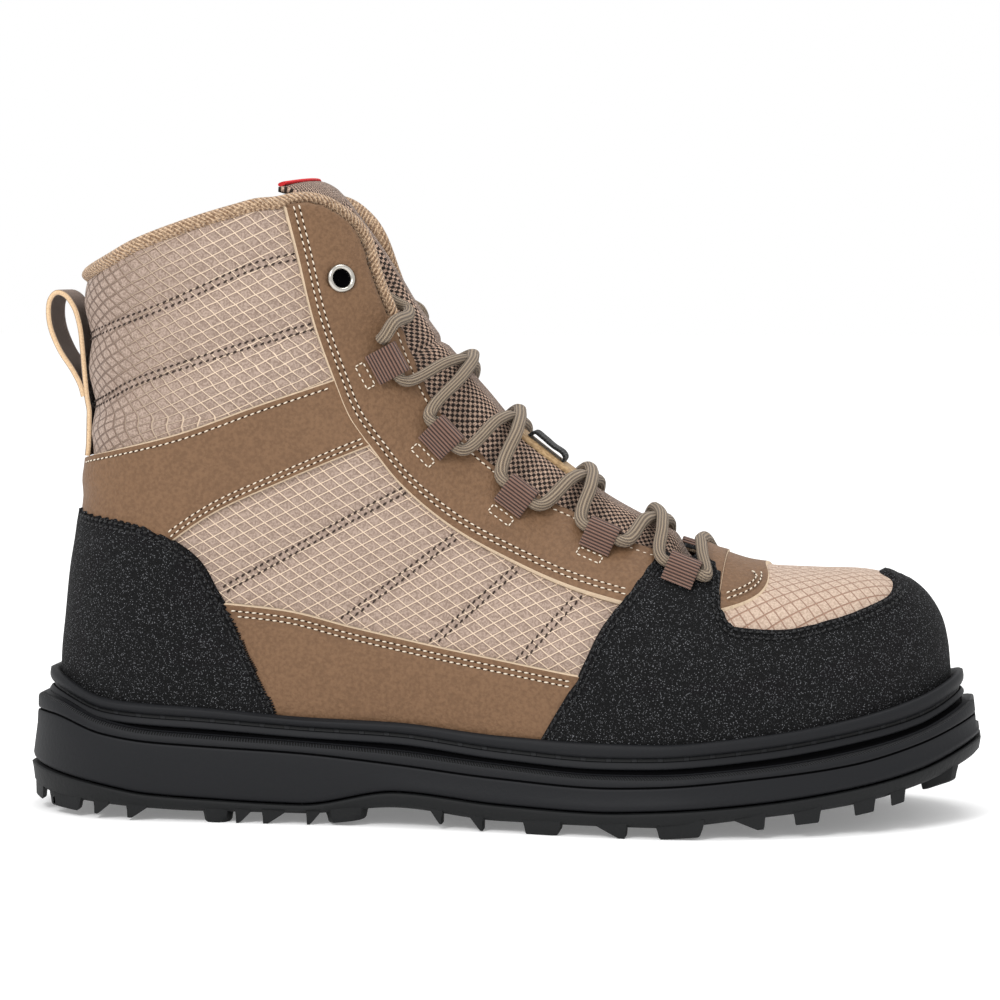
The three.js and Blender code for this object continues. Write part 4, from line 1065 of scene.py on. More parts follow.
def sweep(pile, profile, slots):
    """A skin round the sole through profile rows: level, lift, inset. slots names each strip's material."""
    rings = [ring(*row) for row in profile]
    u = np.arange(AROUND) * ring_length / AROUND
    v = 0.0
    for k, (low, high) in enumerate(zip(rings[:-1], rings[1:])):
        step = float(np.median(np.linalg.norm(high - low, axis=1)))
        points = np.vstack([low, high])
        faces = ring_quads(AROUND, 0, AROUND)
        uv = np.vstack([np.stack([u, np.full(AROUND, v)], 1), np.stack([u, np.full(AROUND, v + step)], 1)])
        pile.add(points, faces, uv, slots[k])
        v += step


def plate(name, lift, by):
    """A flat fill of the plan outline at a level: points, and quads facing down."""
    rows, columns = 90, 16
    x = -(SOLE / 2 - by) * np.cos(np.linspace(0, np.pi, rows))
    a, b = outline(x, by, OUTER), outline(x, by, INNER)
    t = np.linspace(0, 1, columns)
    xx = np.repeat(x[:, None], columns, 1)
    yy = mix(a[:, None], b[:, None], t[None])
    points = np.stack([xx, yy, level(name, xx) + lift], -1).reshape(-1, 3)
    return points, grid_quads(rows, columns)[:, [1, 2, 3, 0]]


def build_welt():
    bead, cove = INSET["bead"], INSET["cove"]
    pile = Pile()
    profile = [
        ("ledge", 0.1, cove - 2.4), ("ledge", 0.3, cove - 0.2), ("ledge", 1.1, cove + 1.4),
        ("bead", -4.0, cove + 1.3), ("bead", -3.9, bead - 0.5), ("bead", -3.6, bead - 0.95),
        ("bead", -3.1, bead - 0.9), ("bead", -1.8, bead - 0.15), ("bead", -1.55, bead + 0.1),
        ("bead", -1.4, bead + 0.75), ("bead", -0.35, bead + 0.75), ("bead", -0.2, bead + 0.1),
        ("bead", 0.1, bead - 0.35), ("bead", 0.9, bead - 0.75), ("bead", 2.0, bead - 0.8),
        ("feather", -0.9, bead - 0.5), ("feather", -0.3, bead + 0.2), ("feather", 0.0, bead + 1.1),
        ("feather", -0.1, bead + 2.1), ("feather", -1.2, bead + 3.4),
    ]
    # Slot 1, near-black, is painted shade in the cove under the bead and beside the slotted band; slot 2 is
    # the slotted band.
    slots = [0, 1, 1, 1, 0, 0, 0, 0, 1, 2, 1, 0, 0, 0, 0, 0, 0, 0, 0]
    sweep(pile, profile, slots)
    pile.piece("welt_dressed", [LOOKS["rubber"], LOOKS["groove"], LOOKS["slots"]], weld=3,
               nodes=["welt"], slot="sole_rubber")


def build_midsole():
    band, ledge, groove = INSET["band"], INSET["ledge"], INSET["groove"]
    pile = Pile()
    profile = [
        ("groove", 0.2, groove + 2.0), ("groove", 0.5, groove + 1.3), ("groove", 1.1, groove + 0.8),
        ("groove", 2.4, groove + 0.55), ("band", -5.0, band - 1.0), ("band", -1.2, band - 0.8),
        ("band", -0.4, band - 0.6), ("band", -0.2, band + 0.1), ("band", 0.1, band + 0.1),
        ("band", 0.3, band - 0.45), ("band", 1.0, band - 0.65), ("ledge", -1.7, ledge - 1.2),
        ("ledge", -1.1, ledge - 1.0), ("ledge", -0.55, ledge - 0.5), ("ledge", -0.1, ledge + 0.3),
        ("ledge", 0.05, ledge + 1.6), ("ledge", 0.1, ledge + 4.5),
    ]
    # Slot 2, near-black, is painted shade in the groove line and the thin line in the band; slot 1 is the
    # ribbed shelf corner.
    slots = [2, 0, 0, 0, 0, 0, 2, 2, 2, 0, 0, 0, 1, 1, 0, 0]
    sweep(pile, profile, slots)
    pile.piece("midsole_dressed", [LOOKS["rubber"], LOOKS["shelf"], LOOKS["groove"]], weld=3,
               nodes=["midsole"], slot="sole_rubber")


# Lugs near the edge: share of the length, share of the half width, length, width, kind
EDGE_LUGS = [
    (0.018, 0.5, 4.5, 12, "block"), (0.056, 0.84, 12, 12, "block"), (0.1, 0.88, 5, 11, "tooth"),
    (0.139, 0.9, 6.5, 10, "tooth"), (0.222, 0.86, 9.5, 13, "oval"), (0.25, 0.91, 4.5, 10, "tooth"),
    (0.282, 0.91, 7, 10, "tooth"), (0.323, 0.91, 4, 9, "tooth"), (0.357, 0.87, 13.5, 13, "oval"),
    (0.452, 0.92, 3.5, 8, "tooth"), (0.494, 0.92, 4, 8, "tooth"), (0.561, 0.88, 11.5, 17, "block"),
    (0.632, 0.91, 9, 14, "tooth"), (0.70, 0.88, 14, 19, "block"), (0.769, 0.91, 9, 15, "tooth"),
    (0.825, 0.86, 8, 16, "block"), (0.881, 0.86, 6.5, 14, "block"), (0.914, 0.82, 4.5, 12, "block"),
    (0.955, 0.6, 11.6, 14, "block"),
]
STUDS = [
    (0.09, 0, 15, 12, "block"), (0.17, 0.3, 10, 13, "oval"), (0.25, 0.3, 10, 13, "block"),
    (0.325, 0.27, 9, 11, "oval"), (0.6, 0.3, 11, 16, "block"), (0.67, 0.34, 11, 18, "block"),
    (0.745, 0.32, 11, 18, "block"), (0.82, 0.3, 11, 16, "block"), (0.895, 0.26, 10, 13, "oval"),
]
LUG_PLANS = {
    "block": [(-1, -0.8), (-0.7, -1), (0.7, -1), (1, -0.8), (1, 0.8), (0.7, 1), (-0.7, 1), (-1, 0.8)],
    "tooth": [(-1, -0.9), (0.8, -1), (1, -0.7), (1, 0.7), (0.8, 1), (-1, 0.9), (-1, 0.3), (-1, -0.3)],
    "oval": [(math.cos(math.pi * k / 6 + 0.2), math.sin(math.pi * k / 6 + 0.2)) for k in range(12)],
}
# Scale of the plan and depth under the plate, ring by ring
LUG_RINGS = [(1.12, -2.0), (1.08, -0.2), (1.0, 1.2), (0.94, LUG_DEPTH - 0.5), (0.86, LUG_DEPTH),
             (0.6, LUG_DEPTH)]


def lug(pile, at, across, long, wide, kind, side):
    """A tapered lug under the plate, with a soft lower rim and a flat foot."""
    x = (at - 0.5) * SOLE
    t = np.clip(at, 0, 1)
    y = float(shift(t) + side * across * half_plan(t) * np.sqrt(np.clip((1 - t) / 0.14, 0, 1)))
    plan = np.array(LUG_PLANS[kind])
    plan[:, 1] *= side
    rings = []
    held = long / 2 * (1 if at > 0.4 else -1)
    for scale, depth in LUG_RINGS:
        narrow = 1 - 0.75 * max(depth, 0) / LUG_DEPTH if kind == "tooth" else 1
        px = x + held + (plan[:, 0] * long / 2 * scale - held) * narrow
        inner = np.clip(px, -SOLE / 2 + 2, SOLE / 2 - 2)
        limit = np.abs(outline(inner, 1.2, side) - shift(inset_share(inner, 0)))
        py = y + plan[:, 1] * wide / 2 * scale
        py = shift(t) + np.clip(py - shift(t), -limit, limit)
        rings.append(np.stack([inner, py, level("tread", inner) - depth], 1))
    n = len(plan)
    rings.append(rings[-1].mean(0, keepdims=True).repeat(n, 0))
    faces = np.vstack([ring_quads(n, k * n, k * n + n) for k in range(len(rings) - 1)])[:, [0, 3, 2, 1]]
    pile.add(np.vstack(rings), faces if side > 0 else faces[:, ::-1])


def build_outsole():
    tread, groove = INSET["tread"], INSET["groove"]
    pile = Pile()
    profile = [
        ("tread", 0.0, tread + 4.0), ("tread", 0.0, tread + 1.4), ("tread", 0.4, tread + 0.2),
        ("tread", 1.3, tread - 0.9), ("groove", -1.6, groove + 0.1), ("groove", -0.9, groove),
        ("groove", -0.4, groove + 0.4), ("groove", -0.1, groove + 2.0),
    ]
    sweep(pile, profile, [0] * 7)
    pile.add(*plate("tread", 0.0, tread + 3.9))
    for row in EDGE_LUGS + STUDS:
        for side in SIDES:
            if row[1] or side == OUTER:
                lug(pile, *row, side)
    pile.piece("outsole_dressed", [LOOKS["tread"]], weld=3, sharp=42, nodes=["outsole"], slot="tread_rubber")


def build_insole():
    """The floor inside the boot."""
    rows, columns = 80, 24
    x = np.linspace(float(back_at(45)) + 6, TIP - 8, rows)
    t = np.linspace(-1, 1, columns)
    xx = np.repeat(x[:, None], columns, 1)
    z = level("feather", xx) - 1.0
    wide = np.maximum(half(xx, z + 3, -WALL - 0.6), 0.5)
    z = z + 2.5 * np.abs(t)[None] ** 4
    points = np.stack([xx, centre(xx, z) + t[None] * wide, z], -1).reshape(-1, 3)
    faces = grid_quads(rows, columns)[:, [0, 3, 2, 1]]
    mesh_piece("insole_dressed", points, faces, [LOOKS["insole"]], uv=points[:, :2],
               nodes=["insole"], slot="insole_fabric")


# Upper

# Outlines of the panels in the side view, and the distance of each chart vertex from them
PANELS = {
    "eyestay": closed_line(curve_through(EYESTAY_REAR), [(75, 70), (90, FAR), (-70, FAR)]),
    "cuff_band": closed_line(curve_through(BAND_TOP), curve_through(BAND_LOW), [(-165, 80)]),
    "quarter_band": closed_line(curve_through(LOW_BAND), [(40, 0), (-110, 0)]),
    "counter": closed_line(curve_through(COUNTER), [(-64, 0), (-200, 0), (-200, 103)]),
    "cap": closed_line(curve_through(TOWER)[:-3], [(55.5, 90.2), (58, 91.2)], curve_through(RAND),
                       [(124.5, 84), (124, FAR), (300, FAR), (300, 0), (14, 0)]),
    "patch": closed_line([(66, 110), (86, 110)], curve_through(VAMP_PATCH), [(66, 75)]),
}
AREAS = {name: polygon_distance(edge, flat_x, flat_z) for name, edge in PANELS.items()}
WAVE_LONG, WAVE_HIGH = 17, 0.08
ROW_DEPTH, ROW_WIDE = 0.28, 0.7


def waviness(p):
    """Slow hand-made unevenness of a panel."""
    x, y, z = (p / WAVE_LONG).T
    return WAVE_HIGH * (np.sin(x + 1.3 * np.sin(z * 0.9)) + np.sin(1.7 * z + 0.8 * y + np.sin(0.7 * x)))


def quilting():
    """Lift of the ripstop shell: puffed between seams and panels, drawn in along them."""
    seams = np.full(flat_x.shape, ENDLESS)
    for line in COLLAR_SEAMS + SIDE_SEAMS:
        seams = np.minimum(seams, line_distance(curve_through(line), flat_x, flat_z))
    cloth_edge = np.minimum.reduce([np.abs(AREAS[k]) for k in AREAS if k != "patch"])
    edge = np.minimum(cloth_edge, np.abs(opening_distance) + 2)
    collar = ease(flat_z, 112, 140)
    vamp = ease(flat_x, 50, 70)
    high = mix(mix(1.1, 2.3, collar), 0.35, vamp)
    reach = mix(5.0, 8.0, collar)
    draw = 1 - np.exp(-((np.maximum(np.minimum(seams - 1.1, edge), 0) / reach) ** 1.4))
    row = np.exp(-((np.abs(seams - 1.1) / 0.55) ** 2))
    return -0.9 * (1 - vamp) - 0.6 * vamp + high * draw - 0.25 * row


shell_lift = quilting()
hidden_under = np.minimum.reduce(list(AREAS.values()))


def body_cut():
    return np.maximum(-opening_distance, -eyelet_distance)


def build_upper():
    pile = Pile()
    shown = np.maximum(body_cut(), -(hidden_under + 4))
    for side in SIDES:
        panel(pile, side, shown, shell_lift, -2.0, edge=1.2)
    for side in SIDES:
        c = charts[side]
        padded = 1.0 + 2.6 * ease(flat_z, 140, 165) * (1 - ease(flat_z, 180, 200)) * ease(-flat_x, 35, 60)
        values = np.hstack([c["p"], c["n"], (WALL + padded)[:, None]])
        rows, tris, _ = clip(values, c["tris"], body_cut())
        inner = rows[:, :3] - unit(rows[:, 3:6]) * rows[:, 6:7]
        inner[:, 1] = np.where(side * (inner[:, 1] - centre(inner[:, 0], inner[:, 2])) < 0,
                               centre(inner[:, 0], inner[:, 2]), inner[:, 1])
        pile.add(inner, tris[:, ::-1], rows[:, [0, 2]], 1)
    pile.piece("upper_dressed", [LOOKS["ripstop"], LOOKS["lining"]], weld=2, nodes=["upper"], slot="ripstop")


def thinned(area, rows):
    """The draw-in along stitch rows that lie at given distances inside an edge."""
    return -ROW_DEPTH * sum(np.exp(-((np.abs(-area - r) / ROW_WIDE) ** 2)) for r in rows)


def lie(name):
    """Extra lift of a panel: thin over the toe, thick where the band covers the pull loop's foot."""
    if name.startswith("toe_cap"):
        return -1.1 * ease(flat_x, 108, 132)
    if name.startswith("vamp_patch"):
        return np.full(flat_x.shape, -0.5)
    if name.startswith("ankle_band"):
        return band_rise(flat_x, flat_z)
    return np.zeros(flat_x.shape)


# Rows of stitches in each panel, as distances from its edge, and how far each panel stands off
ROWS_EYESTAY = (2.7, 4.3)
ROWS_BAND = (2.2,)
ROWS_BAND_LOW = (1.7, 3.3)
ROWS_LOW_BAND = (2.4, 4.1)
ROWS_GUARD = (1.5, 3.2)
ROWS_SEAM = (-1.0, 1.0)
THICK = {"band": 0.75, "low_band": 0.8, "eyestay": 1.5, "guard": 1.95, "patch": 1.25}
CUT_EDGE, ROUND_EDGE, PANEL_FOOT, SEAM_LIFT = 0.5, 0.55, -1.2, -0.9


def overlay(name, distance, thick, rows, sides=(OUTER, INNER), materials=("leather", "cut_edge"), **facts):
    """A panel over the shell, on one or both sides."""
    pile = Pile()
    strip = distance + CUT_EDGE if materials[1] == "cut_edge" else None
    for side in sides:
        lift = thick + lie(name) + waviness(charts[side]["p"]) + thinned(distance, rows)
        shown = np.maximum(distance, body_cut())
        panel(pile, side, shown, lift, PANEL_FOOT, ROUND_EDGE, edge_slot=1, strip=strip)
    pile.piece(name, [LOOKS[m] for m in materials], weld=2, **facts)


def build_overlays():
    overlay("ankle_band_dressed", AREAS["cuff_band"], THICK["band"], ROWS_BAND,
            nodes=["ankle_band"], slot="brown_leather")
    for side, word in SIDES.items():
        overlay("quarter_band_%s_dressed" % word, AREAS["quarter_band"], THICK["low_band"], ROWS_LOW_BAND,
                sides=(side,), nodes=["quarter_band_" + word], slot="brown_leather")
        overlay("eyestay_%s_dressed" % word, AREAS["eyestay"], THICK["eyestay"], ROWS_EYESTAY,
                sides=(side,), nodes=["eyestay_" + word], slot="brown_leather")
    overlay("vamp_patch_dressed", AREAS["patch"], THICK["patch"], ROWS_EYESTAY,
            nodes=["vamp_patch"], slot="brown_leather")
    for node, area in (("heel_counter", "counter"), ("toe_cap", "cap")):
        overlay(node + "_dressed", AREAS[area], THICK["guard"], ROWS_GUARD, materials=("guard", "guard"),
                nodes=[node], slot="guard_fabric")


def outside(*names):
    """A test that keeps stitches clear of the named panels."""
    edges = {**PANELS, "opening": OPENING}

    def keep(x, z):
        return np.minimum.reduce([polygon_distance(edges[n], x, z) for n in names]) > 0.8

    return keep


def leather_rows():
    """Rows of light thread: a line, how far to its left, the lift, and what the row keeps clear of."""
    rows = []
    for by in ROWS_EYESTAY:
        rows.append((curve_through(EYESTAY_REAR), by, THICK["eyestay"], ("cap", "opening")))
        rows.append((curve_through(VAMP_PATCH), -by, THICK["patch"], ("cap",)))
    rows.append((throat_line[:BOUND_FROM], 2.2, THICK["eyestay"], ("cap",)))
    rows += [(curve_through(BAND_TOP), -by, THICK["band"], ("eyestay",)) for by in ROWS_BAND]
    rows += [(curve_through(BAND_LOW), -by, THICK["band"], ("eyestay", "counter")) for by in ROWS_BAND_LOW]
    rows += [(curve_through(LOW_BAND), -by, THICK["low_band"], ("cap", "counter")) for by in ROWS_LOW_BAND]
    return rows


def build_stitches():
    light, pricks, dark, black = Pile(), Pile(), Pile(), Pile()
    quilt = {"pitch": 2.4, "long": 1.7, "wide": 0.75, "slant": 16}
    guard = {"pitch": 2.4, "long": 2.1, "wide": 0.95, "slant": 6}
    seams = [(line, ("eyestay",)) for line in COLLAR_SEAMS]
    seams += [(line, ("eyestay", "counter", "quarter_band", "cap")) for line in SIDE_SEAMS]
    for side in SIDES:
        for line, by, lift, clear_of in leather_rows():
            stitch_row(light, beside(line, by), side, lift, keep=outside(*clear_of), holes=pricks)
        for line, clear_of in seams:
            for by in ROWS_SEAM:
                row = beside(curve_through(line), by)
                stitch_row(dark, row, side, SEAM_LIFT, keep=outside(*clear_of), **quilt)
        for by in ROWS_GUARD:
            for line in (COUNTER, TOWER, RAND):
                stitch_row(black, beside(curve_through(line), -by), side, THICK["guard"], **guard)
    light.piece("light_stitches", [LOOKS["thread"]])
    pricks.piece("stitch_hole_shade_bars", [LOOKS["prick"]])
    dark.piece("quilting_stitches", [LOOKS["dark_thread"]])
    black.piece("guard_stitches", [LOOKS["black_thread"]])


# Tubes and straps

def frames_along(line, up):
    """Sideways and outward directions along a line, with a wished outward direction."""
    t = unit(np.gradient(line, axis=0))
    across = unit(np.cross(t, up))
    return across, np.cross(across, t)


def tube(pile, line, up, wide, thick, around=20, ribs=6, power=2.3):
    """A lace or cord of oval section along a line, with flat ends."""
    across, out = frames_along(line, up)
    angle = 2 * np.pi * np.arange(around) / around
    c, s = np.cos(angle), np.sin(angle)
    c, s = np.sign(c) * np.abs(c) ** (2 / power), np.sign(s) * np.abs(s) ** (2 / power)
    points = (line[:, None] + wide / 2 * c[None, :, None] * across[:, None]
              + thick / 2 * s[None, :, None] * out[:, None])
    v = lengths(line)
    closing = np.concatenate([points, points[:, :1]], 1)
    u = np.arange(around + 1) / around * ribs
    n = len(line)
    uv = np.stack(np.broadcast_arrays(u[None], v[:, None]), -1).reshape(-1, 2)
    pile.add(closing.reshape(-1, 3), grid_quads(n, around + 1), uv)
    for end, turn in ((0, 1), (n - 1, -1)):
        middle = points[end].mean(0, keepdims=True).repeat(around, 0)
        cap = ring_quads(around, 0, around)[:, [0, 3, 2, 1]][:, ::turn]
        pile.add(np.vstack([points[end], middle]), cap, np.tile([[0.0, v[end]]], (2 * around, 1)))


def strap(pile, path, across, wide, thick):
    """A flat strap: a path, its width direction, and rounded edges."""
    t = unit(np.gradient(path, axis=0))
    out = unit(np.cross(across, t))
    top = [(a, 0.5) for a in np.linspace(-0.475, 0.475, 9)]
    low = [(a, -0.5) for a in np.linspace(0.475, -0.475, 9)]
    section = np.array([(-0.5, 0.2)] + top + [(0.5, 0.2), (0.5, -0.2)] + low + [(-0.5, -0.2)]) * (wide, thick)
    points = path[:, None] + section[None, :, :1] * across[:, None] + section[None, :, 1:] * out[:, None]
    n, m = len(path), len(section)
    v = lengths(path)
    uv = np.stack(np.broadcast_arrays(v[:, None], section[None, :, 0]), -1).reshape(-1, 2)
    faces = [ring_quads(m, k * m, (k + 1) * m) for k in range(n - 1)]
    ends = []
    for row, order in ((0, -1), (n - 1, 1)):
        base = row * m
        for a in range(1, m // 2):
            quad = [base + a - 1, base + a, base + (m - a) % m, base + (m - a + 1) % m]
            if len(set(quad)) == 4:
                ends.append(quad[::order])
    pile.add(points.reshape(-1, 3), np.vstack(faces + [np.array(ends)]), uv)


# Tongue

TONGUE_BASE = 0.74
TONGUE_TOP = [(-47.2, 200.6), (-54, 205.6), (-57, 208.4), (-60.6, 210.2), (-63.8, 210.4)]
TONGUE_WIDE, TONGUE_THICK = 54, 4
tongue_rows = [spot(*r) for r in RIDGE if 0.38 < r[0] < TONGUE_BASE + 0.04] + TONGUE_TOP
tongue_line = curve_through(np.array(tongue_rows), 20)


def tongue_share(x, z):
    d = np.hypot(tongue_line[:, 0] - x, tongue_line[:, 1] - z)
    return int(d.argmin()) / (len(tongue_line) - 1)


TONGUE_FREE = tongue_share(-42, 196), tongue_share(-53, 207)
WRAP = np.array([0.97, 0.25])


DEEPEST, HALVINGS = 45.0, 24


def depth_at(p, n, y, grow):
    """How far under the ridge, along its normal, the form is as wide as y."""
    low, high = np.maximum(-grow, 0) * np.ones(y.shape), np.full(y.shape, DEEPEST)
    for _ in range(HALVINGS):
        middle = (low + high) / 2
        narrow = half(p[..., 0] - n[..., 0] * middle, p[..., 1] - n[..., 1] * middle, grow) < np.abs(y)
        low, high = np.where(narrow, middle, low), np.where(narrow, high, middle)
    return low


def tongue_surface(t, y, lift):
    """Points of the tongue's outer face: t runs from the vamp to the top, y across."""
    u = np.clip(t, 0, 1) * (len(tongue_line) - 1)
    i = np.minimum(u.astype(int), len(tongue_line) - 2)
    f = (u - i)[..., None]
    p = mix(tongue_line[i], tongue_line[i + 1], f)
    d = np.gradient(tongue_line, axis=0)
    d = unit(mix(d[i], d[i + 1], f))
    n = np.stack([d[..., 1], -d[..., 0]], -1)
    high = ease(p[..., 1], 0.7 * COLLAR_Z, 0.9 * COLLAR_Z)
    under = depth_at(p, n, y, -(WALL + 3.3 + 4.2 * high))
    opened = ease(69.9 - p[..., 0], 3, 12)
    spread = mix(18, 8, high)
    raised = opened * (1 - ease(np.abs(y), spread * 0.35, spread))
    free = ease(t, *TONGUE_FREE)
    proud = mix(-1.5, 0.9, ease(p[..., 0], -8, 8))
    depth = mix(mix(under, mix(proud, WALL, high), raised), 0, free) - lift
    wrap = free * y * y / 105
    return np.stack([p[..., 0] - n[..., 0] * depth - WRAP[0] * wrap, y,
                     p[..., 1] - n[..., 1] * depth - WRAP[1] * wrap], -1)


def closed_sheet(top, low, uv):
    """Points, quads and cloth coordinates of two grids of points, closed along their border."""
    rows, columns = top.shape[:2]
    size = rows * columns
    border = np.concatenate([
        np.arange(columns), columns - 1 + np.arange(1, rows) * columns,
        size - 1 - np.arange(1, columns), np.arange(rows - 2, 0, -1) * columns,
    ])
    following = np.roll(border, -1)
    wall = np.stack([border, following, following + size, border + size], 1)
    face = grid_quads(rows, columns)
    points = np.vstack([top.reshape(-1, 3), low.reshape(-1, 3)])
    return points, np.vstack([face[:, ::-1], face + size, wall]), np.vstack([uv, uv])


def build_tongue():
    rows, columns = ((200, 64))
    t = np.linspace(0, 1, rows)[:, None] * np.ones((1, columns))
    across = np.sin(np.pi * (np.linspace(0, 1, columns) - 0.5))
    y = TONGUE_WIDE / 2 * across[None] * np.ones((rows, 1))
    seam = np.exp(-(((t - tongue_share(-20, 157.5)) / 0.005) ** 2))
    puff = 0.8 * (1 - across[None] ** 6) * np.clip(1 - ((t - 0.98) / 0.03).clip(0, 1) ** 2, 0, 1) - 1.3 * seam
    top = tongue_surface(t, y, puff)
    low = tongue_surface(t, y, -TONGUE_THICK * (0.4 + 0.6 * (1 - across[None] ** 4)))
    along = np.interp(t, np.linspace(0, 1, len(tongue_line)), lengths(tongue_line))
    uv = np.stack([along, y * 1.15], -1).reshape(-1, 2)
    points, faces, uv = closed_sheet(top, low, uv)
    mesh_piece("tongue_dressed", points, faces, [LOOKS["mesh"]], uv=uv, nodes=["tongue"], slot="tongue_mesh")


def plate_on_tongue(start, end, wide, lift, thick):
    """Points, quads and cloth coordinates of a thin plate that follows the tongue."""
    steps, columns = 14, 12
    t = np.linspace(start, end, steps)[:, None] * np.ones((1, columns))
    y = wide / 2 * np.sin(np.pi * (np.linspace(0, 1, columns) - 0.5))[None] * np.ones((steps, 1))
    top, low = tongue_surface(t, y, lift + thick), tongue_surface(t, y, lift)
    return closed_sheet(top, low, np.stack([t * 175, y], -1).reshape(-1, 2))


# The keeper over the tongue patch: share of the patch's length, and lift
KEEPER_ARCH = [(0.27, 1.8), (0.28, 3.2), (0.34, 4.0), (0.48, 3.8), (0.64, 4.0), (0.76, 3.8), (0.79, 1.8)]


def build_tongue_trim():
    low, high = tongue_share(26.6, 114.3), tongue_share(6.3, 129.4)
    points, faces, uv = plate_on_tongue(low, high, 18, 0.2, 1.4)
    mesh_piece("tongue_patch_dressed", points, faces, [LOOKS["tan"]], uv=uv,
               nodes=["tongue_patch"], slot="tan_leather")
    arch = []
    for part, lift in KEEPER_ARCH:
        arch.append(tongue_surface(np.array([mix(low, high, part)]), np.array([0.0]), lift)[0])
    pile = Pile()
    path = curve_through(arch, 6)
    strap(pile, path, np.tile([0.0, 1.0, 0.0], (len(path), 1)), 11, 1.0)
    pile.piece("tongue_keeper_dressed", [LOOKS["black_webbing"]],
               nodes=["tongue_keeper"], slot="black_webbing")
    y = np.linspace(-TONGUE_WIDE / 2 + 1, TONGUE_WIDE / 2 - 1, 60)
    edge = tongue_surface(np.full(60, 0.99), y, 0.9)
    pile = Pile()
    tube(pile, edge, np.tile([-0.3, 0.0, 1.0], (60, 1)), 3.2, 1.3, around=12, ribs=1, power=3)
    pile.piece("tongue_tab_dressed", [LOOKS["red"]], nodes=["tongue_tab"], slot="red_webbing")


# Loops, eyelets, binding and pull loop

def loop_frame(place, side, lift):
    x, z = place
    p, n = on_side(np.array(x), np.array(z), side, lift)
    _, t, _ = ridge_frame(ridge_share(x, z))
    up = np.array([t[0], 0, t[1]])
    up = unit(up - up.dot(n) * n)
    away = side * np.cross(up, n)
    return p, n, up, away


LOOP_BASE = THICK["eyestay"] + 0.2
# Away from the throat and out from the eyestay
LOOP_PATH = [(5.6, 0.3), (4.2, 1.4), (1.5, 3.6), (-1.4, 4.9), (-3.4, 4.7), (-4.7, 3.2), (-5.0, 1.4),
             (-4.2, 0.4), (-1, 0.2)]


def build_loops():
    threads = Pile()
    for side, word in SIDES.items():
        for i, place in enumerate(LOOP_SPOTS):
            base = THICK["guard"] + 0.2 if i == 0 else LOOP_BASE
            p, n, up, away = loop_frame(place, side, base)
            path = curve_through([p + a * away + h * n for a, h in LOOP_PATH], 8)
            pile = Pile()
            strap(pile, path, np.tile(up, (len(path), 1)), LOOP_LONG, 1.0)
            name = "lace_loop_%s_%d" % (word, i + 1)
            pile.piece(name + "_dressed", [LOOKS["webbing"]], nodes=[name], slot="webbing")
            if i:
                box_stitch(threads, place, side, base + 0.1)
    threads.piece("loop_stitches", [LOOKS["thread"]])


def box_stitch(pile, place, side, lift):
    """The sewn rectangle that holds a loop's hidden end."""
    p, _, up, away = loop_frame(place, side, lift)
    near, far, wide = 8.0, 11.2, 4.2
    corners = [p + away * a + up * b
               for a, b in ((near, -wide), (near, wide), (far, wide), (far, -wide), (near, -wide))]
    for a, b in zip(corners[:-1], corners[1:]):
        span = np.linalg.norm(b - a)
        count = max(int(round(span / 1.9)), 1)
        t = (np.arange(count) + 0.5)[:, None] / count
        centres = mix(a[None], b[None], t)
        flat, normals = on_side(centres[:, 0], centres[:, 2], side, lift)
        stitches(pile, flat, np.tile(b - a, (count, 1)), normals, long=1.4, wide=0.55, slant=0)


def build_eyelets():
    for side, word in SIDES.items():
        p, n, up, _ = loop_frame(EYELET_SPOT, side, THICK["eyestay"])
        across = np.cross(up, n)
        hole, outer = EYELET_HOLE / 2, EYELET_WIDE / 2
        profile = [(0.05, -2.6), (hole, -2.6), (hole, -0.2), (hole + 0.25, 0.45), (hole + 0.8, 0.85),
                   (hole + 1.3, 0.8), (outer - 0.25, 0.35), (outer, 0.0), (outer, -0.4)]
        around = 48
        angle = 2 * np.pi * np.arange(around) / around
        turned = np.cos(angle)[:, None] * up + np.sin(angle)[:, None] * across
        points = np.vstack([p + r * turned + h * n for r, h in profile])
        faces = np.vstack([ring_quads(around, k * around, (k + 1) * around) for k in range(len(profile) - 1)])
        # The hole's floor and inner wall take the near-black groove rubber: painted shadow in the hole.
        slots = np.where(np.arange(len(faces)) < 2 * around, 1, 0)
        mesh_piece("eyelet_%s_dressed" % word, points, faces if side > 0 else faces[:, ::-1],
                   [LOOKS["metal"], LOOKS["groove"]], slots=slots,
                   nodes=["eyelet_" + word], slot="eyelet_metal")


BINDING_WIDE, BINDING_THICK = 3.9, 4.6


def build_binding():
    """Knit edge along the rim and down the front of both flaps."""
    edge = resample(curve_through(resample(edge_line[BOUND_FROM:], 26), 12), 240)
    line = beside(edge, BINDING_WIDE / 2)

    def side_path(side):
        x, z = line.T
        inside = np.maximum(x, back_at(z) + WALL / 2)
        y = np.where(inside > x, centre(inside, z), centre(x, z) + side * half(x, z, -WALL / 2))
        return np.stack([inside, y, z], 1)

    near, far = side_path(OUTER), side_path(INNER)[:-1][::-1]
    path = resample(np.vstack([near, far]), 420)
    for _ in range(6):
        path[1:-1] = (path[:-2] + 2 * path[1:-1] + path[2:]) / 4
    inward = unit(np.array([-95.0, 0, 150]) - path)
    pile = Pile()
    tube(pile, path, inward, BINDING_WIDE, BINDING_THICK, around=18, ribs=12, power=2.6)
    pile.piece("collar_binding_dressed", [LOOKS["knit"]], nodes=["collar_binding"], slot="knit")


# The loop behind the heel, side view: up the heel, over and back down to it
PULL_PATH = [(-141.2, 138), (-142, 146), (-142.7, 155), (-143.4, 163), (-145, 169), (-147.9, 173),
             (-150.8, 173.8), (-152.9, 171.6), (-153.6, 167.4), (-152.8, 161.6), (-149.8, 154.4),
             (-145.6, 147.6), (-143.2, 142.6), (-142.2, 138.8)]


